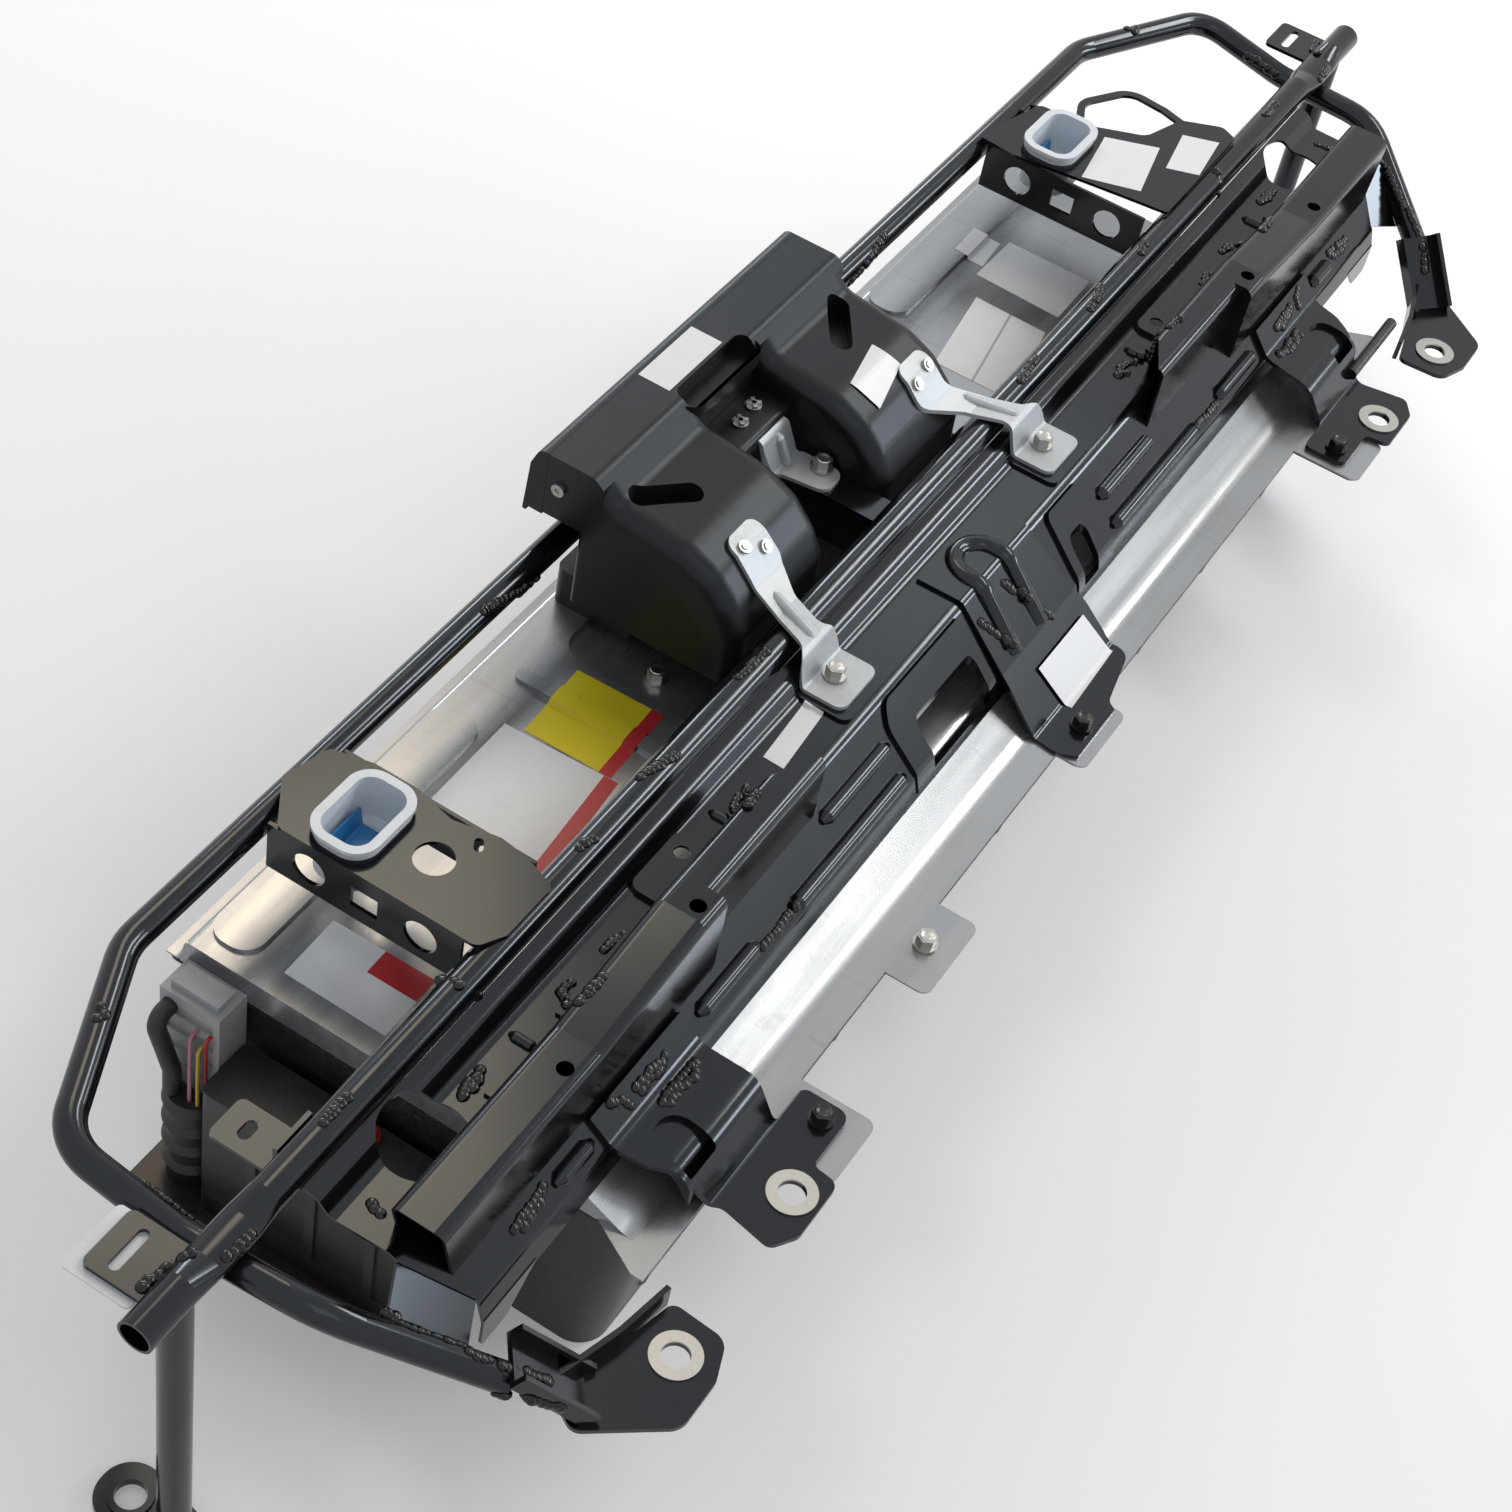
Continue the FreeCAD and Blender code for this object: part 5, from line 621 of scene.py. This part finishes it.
def ring_at(bm, outline, z):
    height = at(0, 0, z).z
    return [bm.verts.new((x, y, height)) for x, y in outline]


def wall_between(bm, low, high):
    for index in range(len(low)):
        after = (index + 1) % len(low)
        bm.faces.new((low[index], low[after], high[after], high[index]))


def rounded_piece(name, low, high, radius, bottom, top, finish, lidded):
    """Block, or tray without a lid, with round corners in plan, from sizes in millimetres."""
    outline = rounded_corners(low, high, radius)

    def build(bm):
        under = ring_at(bm, outline, bottom)
        over = ring_at(bm, outline, top)
        wall_between(bm, under, over)
        bm.faces.new(under[::-1])
        if lidded:
            bm.faces.new(over)
        bmesh.ops.recalc_face_normals(bm, faces=bm.faces)

    return piece_from(name, build, [finish_of(finish)], smooth=False)


# Operators


class BATTERY_OT_effects(bpy.types.Operator):
    """Make the shared effects that the finishes use"""
    bl_idname = "battery.effects"
    bl_label = "Make shared effects"

    def execute(self, context):
        make_dust_group()
        make_grain_group()
        make_streak_group()
        return {"FINISHED"}


class BATTERY_OT_frame_paint(bpy.types.Operator):
    """Paint the tubes, members, brackets and feet with glossy black dip coat"""
    bl_idname = "battery.frame_paint"
    bl_label = "Paint the seat frame"

    def execute(self, context):
        look = context.scene.frame_finish
        # The dip coat's gloss carries the painted cool reflection tint, which stands in for cool room
        # light
        paint = painted_finish("dip_coat", look.paint, look.paint_dust, look.gloss, 0.22, cover=0.4,
                               specular=0.48, grain=40.0, relief=0.03, patch=9.0, speck=25.0,
                               tint=PAINTED_COOL_REFLECTION)
        dress(FRAME_NODES, paint)
        black_bolt = painted_finish("dipped_bolt", look.paint, look.paint_dust, 0.25, 0.5, cover=0.4,
                                    grain=700.0, relief=0.15)
        dress(("foot_bolts", "locator_pin"), black_bolt)
        return {"FINISHED"}


class BATTERY_OT_welds(bpy.types.Operator):
    """Lay the lumpy weld beads where the frame's pieces meet"""
    bl_idname = "battery.welds"
    bl_label = "Lay the welds"

    def execute(self, context):
        look = context.scene.frame_finish
        chance = random.Random(look.weld_seed)
        width = look.weld_width * MM
        tree = surface_tree(FRAME_NODES)
        made = Finish("weld_skin", specular=0.35)
        dust = made.effect("dust_and_marks", Patch=160.0, Speck=900.0, Cover=0.9)["Mask"]
        made.feed("Base Color", made.mixed_colour(dust, look.paint, (0.035, 0.028, 0.022)))
        made.feed("Roughness", made.range(dust, 0.0, 1.0, 0.12, 0.3))
        made.bump(made.effect("fine_grain", Scale=300.0, Wave=120.0)["Height"], 0.25, 0.0006)
        for name, lines in WELDS.items():
            def build(bm, name=name, lines=lines):
                for line in lines:
                    points = [sighted(tree, *pixel) for pixel in line]
                    weld_line(bm, chance, tree, points, width)
                    if name in MIRRORED_WELDS:
                        twin = [Vector((-point.x, point.y, point.z)) for point in points]
                        weld_line(bm, chance, tree, twin, width)
            piece_from(name, build, [made.material])
        return {"FINISHED"}


class BATTERY_OT_bolt_crowns(bpy.types.Operator):
    """Raise the round crowns on the hexagon heads"""
    bl_idname = "battery.bolt_crowns"
    bl_label = "Raise the bolt crowns"

    def execute(self, context):
        for name, carriers, finish, places in CROWNS:
            tree = surface_tree(carriers)

            def build(bm, tree=tree, places=places):
                for x, y in places:
                    plan = at(x, y, 0)
                    self.crown(bm, laid_point(tree, plan.x, plan.y, 0))
            piece_from(name, build, [finish_of(finish)])
        return {"FINISHED"}

    def crown(self, bm, top):
        """Raised rim with a shallow dish inside it, turned about the bolt's axis."""
        rings = []
        for radius, rise in CROWN_RINGS:
            ring = []
            for index in range(CROWN_SIDES):
                angle = 2 * math.pi * index / CROWN_SIDES
                ring.append(bm.verts.new(top + Vector((
                    radius * math.cos(angle), radius * math.sin(angle), rise)) * MM))
            rings.append(ring)
        for low, high in zip(rings, rings[1:]):
            wall_between(bm, low, high)
        middle = bm.verts.new(top + Vector((0, 0, CROWN_MIDDLE)) * MM)
        inmost = rings[-1]
        for index in range(CROWN_SIDES):
            bm.faces.new((inmost[index], inmost[(index + 1) % CROWN_SIDES], middle))


class BATTERY_OT_plates(bpy.types.Operator):
    """Lay the bare plates, plain fields of colour, on the cover, duct and frame"""
    bl_idname = "battery.plates"
    bl_label = "Lay the bare plates"

    def execute(self, context):
        look = context.scene.plate_finish
        fields = []
        for name, colour in (("plate_white", look.paper), ("plate_yellow", (0.8, 0.66, 0.02)),
                             ("plate_red", (0.55, 0.025, 0.03)), ("plate_grey", (0.45, 0.46, 0.47))):
            fields.append(painted_finish(
                name, colour, [DUSTED_SHARE * part for part in colour], 0.28, 0.5, cover=0.25,
                grain=700.0, relief=0.08, patch=30.0))
        columns = steps(PLATE_COLUMNS)
        rows = steps(PLATE_ROWS)
        for name, carrier, corners, chooser in PLATES:
            bare_plate(name, carrier, corners, columns, rows, chooser, fields)
        return {"FINISHED"}


class BATTERY_OT_cover(bpy.types.Operator):
    """Finish the bright cover, the dull tray and the foam between them"""
    bl_idname = "battery.cover"
    bl_label = "Finish cover and tray"

    def execute(self, context):
        look = context.scene.cover_finish
        dress(("battery_cover",), sheet_finish("bright_sheet", look.sheet, look.sheet_worn, 0.19, 0.34))
        dress(("battery_tray",), painted_finish(
            "tray_coat", look.tray, (0.11, 0.095, 0.085), 0.34, 0.62, cover=0.8, metallic=0.4,
            grain=300.0, relief=0.2, depth=0.0006, patch=8.0))
        dress(("cover_seal",), painted_finish(
            "seal_foam", (0.02, 0.02, 0.02), (0.05, 0.05, 0.05), 0.8, 0.95, grain=900.0, relief=0.5))
        return {"FINISHED"}


class BATTERY_OT_duct(bpy.types.Operator):
    """Finish the moulded duct, its chutes, rear strip and bridge"""
    bl_idname = "battery.duct"
    bl_label = "Finish the duct"

    def execute(self, context):
        look = context.scene.duct_finish
        # The moulded plastic's gloss carries the painted cool reflection tint, which stands in for cool
        # room light
        dress(("duct_housing", "duct_rear_strip", "duct_bridge", "left_duct_chute", "right_duct_chute"),
              painted_finish("moulded_black", look.plastic, (0.03, 0.03, 0.032), 0.33, 0.5, cover=0.35,
                             specular=0.3, grain=1400.0, relief=0.15, depth=0.0002, patch=11.0,
                             tint=PAINTED_COOL_REFLECTION))
        dress(("left_duct_strap", "right_duct_strap", "mid_duct_strap"),
              painted_finish("strap_grey", look.strap, (0.36, 0.37, 0.37), 0.42, 0.6, cover=0.5,
                             metallic=0.25, grain=800.0, relief=0.15, patch=30.0))
        return {"FINISHED"}


class BATTERY_OT_duct_recess(bpy.types.Operator):
    """Close the long notch in the duct's roof with its dark recess"""
    bl_idname = "battery.duct_recess"
    bl_label = "Close the roof notch"

    def execute(self, context):
        rounded_piece("duct_recess", low=(-64, 107), high=(12, 127), radius=9.5, bottom=52, top=61.4,
                      finish="moulded_black", lidded=False)
        return {"FINISHED"}


class BATTERY_OT_end_tag(bpy.types.Operator):
    """Lay the milky tag under the left slotted plate"""
    bl_idname = "battery.end_tag"
    bl_label = "Lay the end tag"

    def execute(self, context):
        rounded_piece("end_tag", low=(-660, 12), high=(-620, 50), radius=3, bottom=-3.9, top=-2.7,
                      finish="milky_nylon", lidded=True)
        return {"FINISHED"}


class BATTERY_OT_fasteners(bpy.types.Operator):
    """Plate the bolts, rivets, screws, clips and rings with zinc"""
    bl_idname = "battery.fasteners"
    bl_label = "Finish the fasteners"

    def execute(self, context):
        zinc = painted_finish("zinc_plate", (0.42, 0.42, 0.4), (0.28, 0.27, 0.24), 0.32, 0.5, cover=0.6,
                              metallic=1.0, grain=900.0, relief=0.15, patch=60.0)
        dress(ZINC_NODES, zinc)
        return {"FINISHED"}


class BATTERY_OT_sockets(bpy.types.Operator):
    """Finish the milky cushion sockets and the clips inside them"""
    bl_idname = "battery.sockets"
    bl_label = "Finish the cushion sockets"

    def execute(self, context):
        milky = painted_finish("milky_nylon", (0.75, 0.79, 0.83), (0.6, 0.64, 0.68), 0.32, 0.5,
                               cover=0.4, grain=600.0, relief=0.08, patch=40.0)
        dress(("left_cushion_socket", "right_cushion_socket"), milky)
        dress(("left_socket_clip", "right_socket_clip"), painted_finish(
            "clip_blue", (0.03, 0.2, 0.46), (0.06, 0.28, 0.52), 0.3, 0.5, grain=600.0, relief=0.1))
        return {"FINISHED"}


class BATTERY_OT_wiring(bpy.types.Operator):
    """Finish the signal connector, its wires, the boot and the junction box"""
    bl_idname = "battery.wiring"
    bl_label = "Finish the wiring"

    def execute(self, context):
        dress(("signal_connector",), painted_finish(
            "grey_connector", (0.42, 0.44, 0.45), (0.3, 0.3, 0.3), 0.45, 0.65, grain=900.0, relief=0.15,
            patch=50.0))
        dress(("cable_boot", "wire_loom"), painted_finish(
            "loom_tape", (0.012, 0.012, 0.013), (0.05, 0.05, 0.05), 0.5, 0.75, cover=0.7, grain=700.0,
            relief=0.35, depth=0.0005, patch=60.0))
        dress(("service_cap",), painted_finish(
            "cap_red", (0.4, 0.02, 0.012), (0.28, 0.04, 0.03), 0.4, 0.6, cover=0.5, grain=900.0,
            relief=0.15))
        dress(("end_box", "relay_box"), painted_finish(
            "case_black", (0.018, 0.018, 0.019), (0.06, 0.058, 0.055), 0.4, 0.66, cover=0.7, grain=1200.0,
            relief=0.2, patch=20.0))
        dress(("signal_wires",), self.wire_colours())
        return {"FINISHED"}

    def wire_colours(self):
        """Jacket colours that step along the connector."""
        made = Finish("wire_jackets")
        parts = made.tree.nodes.new("ShaderNodeSeparateXYZ")
        made.tree.links.new(made.place, parts.inputs["Vector"])
        low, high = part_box("signal_wires")
        along = made.range(parts.outputs["Y"], low.y, high.y, 0.0, 1.0)
        ramp = made.tree.nodes.new("ShaderNodeValToRGB")
        ramp.color_ramp.interpolation = "CONSTANT"
        jackets = ((0.45, 0.02, 0.02), (0.6, 0.42, 0.03), (0.03, 0.09, 0.4), (0.55, 0.22, 0.3),
                   (0.012, 0.012, 0.012))
        for index, colour in enumerate(jackets):
            place = index / len(jackets)
            stop = ramp.color_ramp.elements[0] if index == 0 else ramp.color_ramp.elements.new(place)
            stop.position = place
            stop.color = (*colour, 1)
        # A new ramp also has a stop at its far end, which no wire uses
        ramp.color_ramp.elements.remove(ramp.color_ramp.elements[-1])
        made.tree.links.new(along, ramp.inputs["Fac"])
        made.feed("Base Color", ramp.outputs["Color"])
        dust = made.effect("dust_and_marks", Patch=80.0)["Mask"]
        made.feed("Roughness", made.range(dust, 0.0, 1.0, 0.32, 0.55))
        made.bump(made.effect("fine_grain", Scale=1500.0)["Height"], 0.1, 0.0002)
        return made.material


class BATTERY_OT_inner(bpy.types.Operator):
    """Finish what the closed box holds: cells, plates, bars and electronics"""
    bl_idname = "battery.inner"
    bl_label = "Finish the inner pieces"

    def execute(self, context):
        dress(("left_cell_module", "right_cell_module"), painted_finish(
            "cell_cases", (0.1, 0.105, 0.11), (0.2, 0.2, 0.2), 0.45, 0.65, grain=700.0, relief=0.15))
        dress(("module_end_plates", "battery_controller"), painted_finish(
            "mill_aluminium", (0.6, 0.61, 0.62), (0.45, 0.45, 0.45), 0.3, 0.5, metallic=1.0, grain=500.0,
            relief=0.15))
        dress(("bus_bars",), painted_finish(
            "bare_copper", (0.72, 0.36, 0.22), (0.45, 0.26, 0.18), 0.25, 0.5, metallic=1.0, grain=500.0,
            relief=0.1))
        return {"FINISHED"}


class BATTERY_OT_stage(bpy.types.Operator):
    """Set the pale floor, the soft lamps, the world and the camera"""
    bl_idname = "battery.stage"
    bl_label = "Set the stage"

    def execute(self, context):
        sizes = context.scene.stage_sizes
        self.floor(sizes.floor_half)
        self.world(context.scene, sizes.room_light)
        for name, place, target, sides, power, colour in LAMPS:
            self.lamp(name, Vector(place), Vector(target), sides, power, colour)
        self.camera(context.scene, sizes.lens)
        context.scene.view_settings.view_transform = "Standard"
        return {"FINISHED"}

    def floor(self, half):
        mesh = bpy.data.meshes.new("floor")
        corners = [(-half, -half, 0), (half, -half, 0), (half, half, 0), (-half, half, 0)]
        mesh.from_pydata(corners, [], [(0, 1, 2, 3)])
        floor = bpy.data.objects.new("floor", mesh)
        bpy.context.scene.collection.objects.link(floor)
        made = Finish("pale_floor", specular=0.1)
        made.put("Roughness", 0.9)
        tone = made.effect("dust_and_marks", Patch=0.6, Speck=3.0, Cover=0.3)["Mask"]
        made.feed("Base Color", made.mixed_colour(tone, (0.9, 0.9, 0.905), (0.87, 0.87, 0.875)))
        made.put("Emission Color", (1, 1, 1, 1))
        reach = made.tree.nodes.new("ShaderNodeVectorMath")
        reach.operation = "LENGTH"
        made.tree.links.new(made.place, reach.inputs[0])
        glow = made.range(reach.outputs["Value"], *FLOOR_GLOW_SPAN, *FLOOR_GLOW)
        made.feed("Emission Strength", maths(made.tree, "MULTIPLY", seen_rays(made.tree), glow))
        mesh.materials.append(made.material)

    def world(self, scene, room_light):
        world = bpy.data.worlds.new("pale_room")
        scene.world = world
        world.use_nodes = True
        tree = world.node_tree
        tree.nodes.clear()
        out = tree.nodes.new("ShaderNodeOutputWorld")
        mix = tree.nodes.new("ShaderNodeMixShader")
        room = tree.nodes.new("ShaderNodeBackground")
        seen = tree.nodes.new("ShaderNodeBackground")
        room.inputs["Color"].default_value = (0.93, 0.95, 1.0, 1)
        room.inputs["Strength"].default_value = room_light
        seen.inputs["Color"].default_value = (0.93, 0.93, 0.935, 1)
        seen.inputs["Strength"].default_value = 1.0
        tree.links.new(seen_rays(tree), mix.inputs["Fac"])
        tree.links.new(room.outputs["Background"], mix.inputs[1])
        tree.links.new(seen.outputs["Background"], mix.inputs[2])
        tree.links.new(mix.outputs["Shader"], out.inputs["Surface"])

    def lamp(self, name, place, target, sides, power, colour):
        data = bpy.data.lights.new(name, "AREA")
        data.shape = "RECTANGLE"
        data.size, data.size_y = sides
        data.energy = power
        data.color = colour
        lamp = bpy.data.objects.new(name, data)
        lamp.location = place
        lamp.rotation_mode = "QUATERNION"
        lamp.rotation_quaternion = (target - place).to_track_quat("-Z", "Y")
        bpy.context.scene.collection.objects.link(lamp)

    def camera(self, scene, lens):
        data = bpy.data.cameras.new("view")
        data.sensor_fit = "HORIZONTAL"
        data.sensor_width = 36.0
        data.lens = lens
        data.clip_start = 0.05
        data.clip_end = 60.0
        camera = bpy.data.objects.new("view", data)
        turn = Matrix((RIGHT, UP, BACK)).transposed().to_4x4()
        camera.matrix_world = Matrix.Translation(EYE) @ turn
        scene.collection.objects.link(camera)
        scene.camera = camera


class BATTERY_PT_panel(bpy.types.Panel):
    """Finishes of the battery pack and its stage"""
    bl_idname = "BATTERY_PT_panel"
    bl_label = "Battery pack"
    bl_space_type = "VIEW_3D"
    bl_region_type = "UI"
    bl_category = "Battery pack"

    def draw(self, context):
        layout = self.layout
        for group, _ in SETTINGS:
            settings = getattr(context.scene, group)
            box = layout.box()
            for word in settings.bl_rna.properties.keys():
                if word not in ("rna_type", "name"):
                    box.prop(settings, word)
        for operator in OPERATORS:
            layout.operator(operator.bl_idname)


SETTINGS = (
    ("frame_finish", FrameFinish),
    ("cover_finish", CoverFinish),
    ("duct_finish", DuctFinish),
    ("plate_finish", PlateFinish),
    ("stage_sizes", StageSizes),
)
OPERATORS = (
    BATTERY_OT_effects,
    BATTERY_OT_frame_paint,
    BATTERY_OT_welds,
    BATTERY_OT_cover,
    BATTERY_OT_duct,
    BATTERY_OT_duct_recess,
    BATTERY_OT_fasteners,
    BATTERY_OT_bolt_crowns,
    BATTERY_OT_sockets,
    BATTERY_OT_end_tag,
    BATTERY_OT_wiring,
    BATTERY_OT_inner,
    BATTERY_OT_plates,
    BATTERY_OT_stage,
)


def register():
    for name, group in SETTINGS:
        bpy.utils.register_class(group)
        setattr(bpy.types.Scene, name, PointerProperty(type=group))
    for operator in OPERATORS:
        bpy.utils.register_class(operator)
    bpy.utils.register_class(BATTERY_PT_panel)


def unregister():
    bpy.utils.unregister_class(BATTERY_PT_panel)
    for operator in reversed(OPERATORS):
        bpy.utils.unregister_class(operator)
    for name, group in reversed(SETTINGS):
        delattr(bpy.types.Scene, name)
        bpy.utils.unregister_class(group)


def main():
    register()
    for operator in OPERATORS:
        group, word = operator.bl_idname.split(".")
        getattr(getattr(bpy.ops, group), word)()


if __name__ == "__main__":
    main()
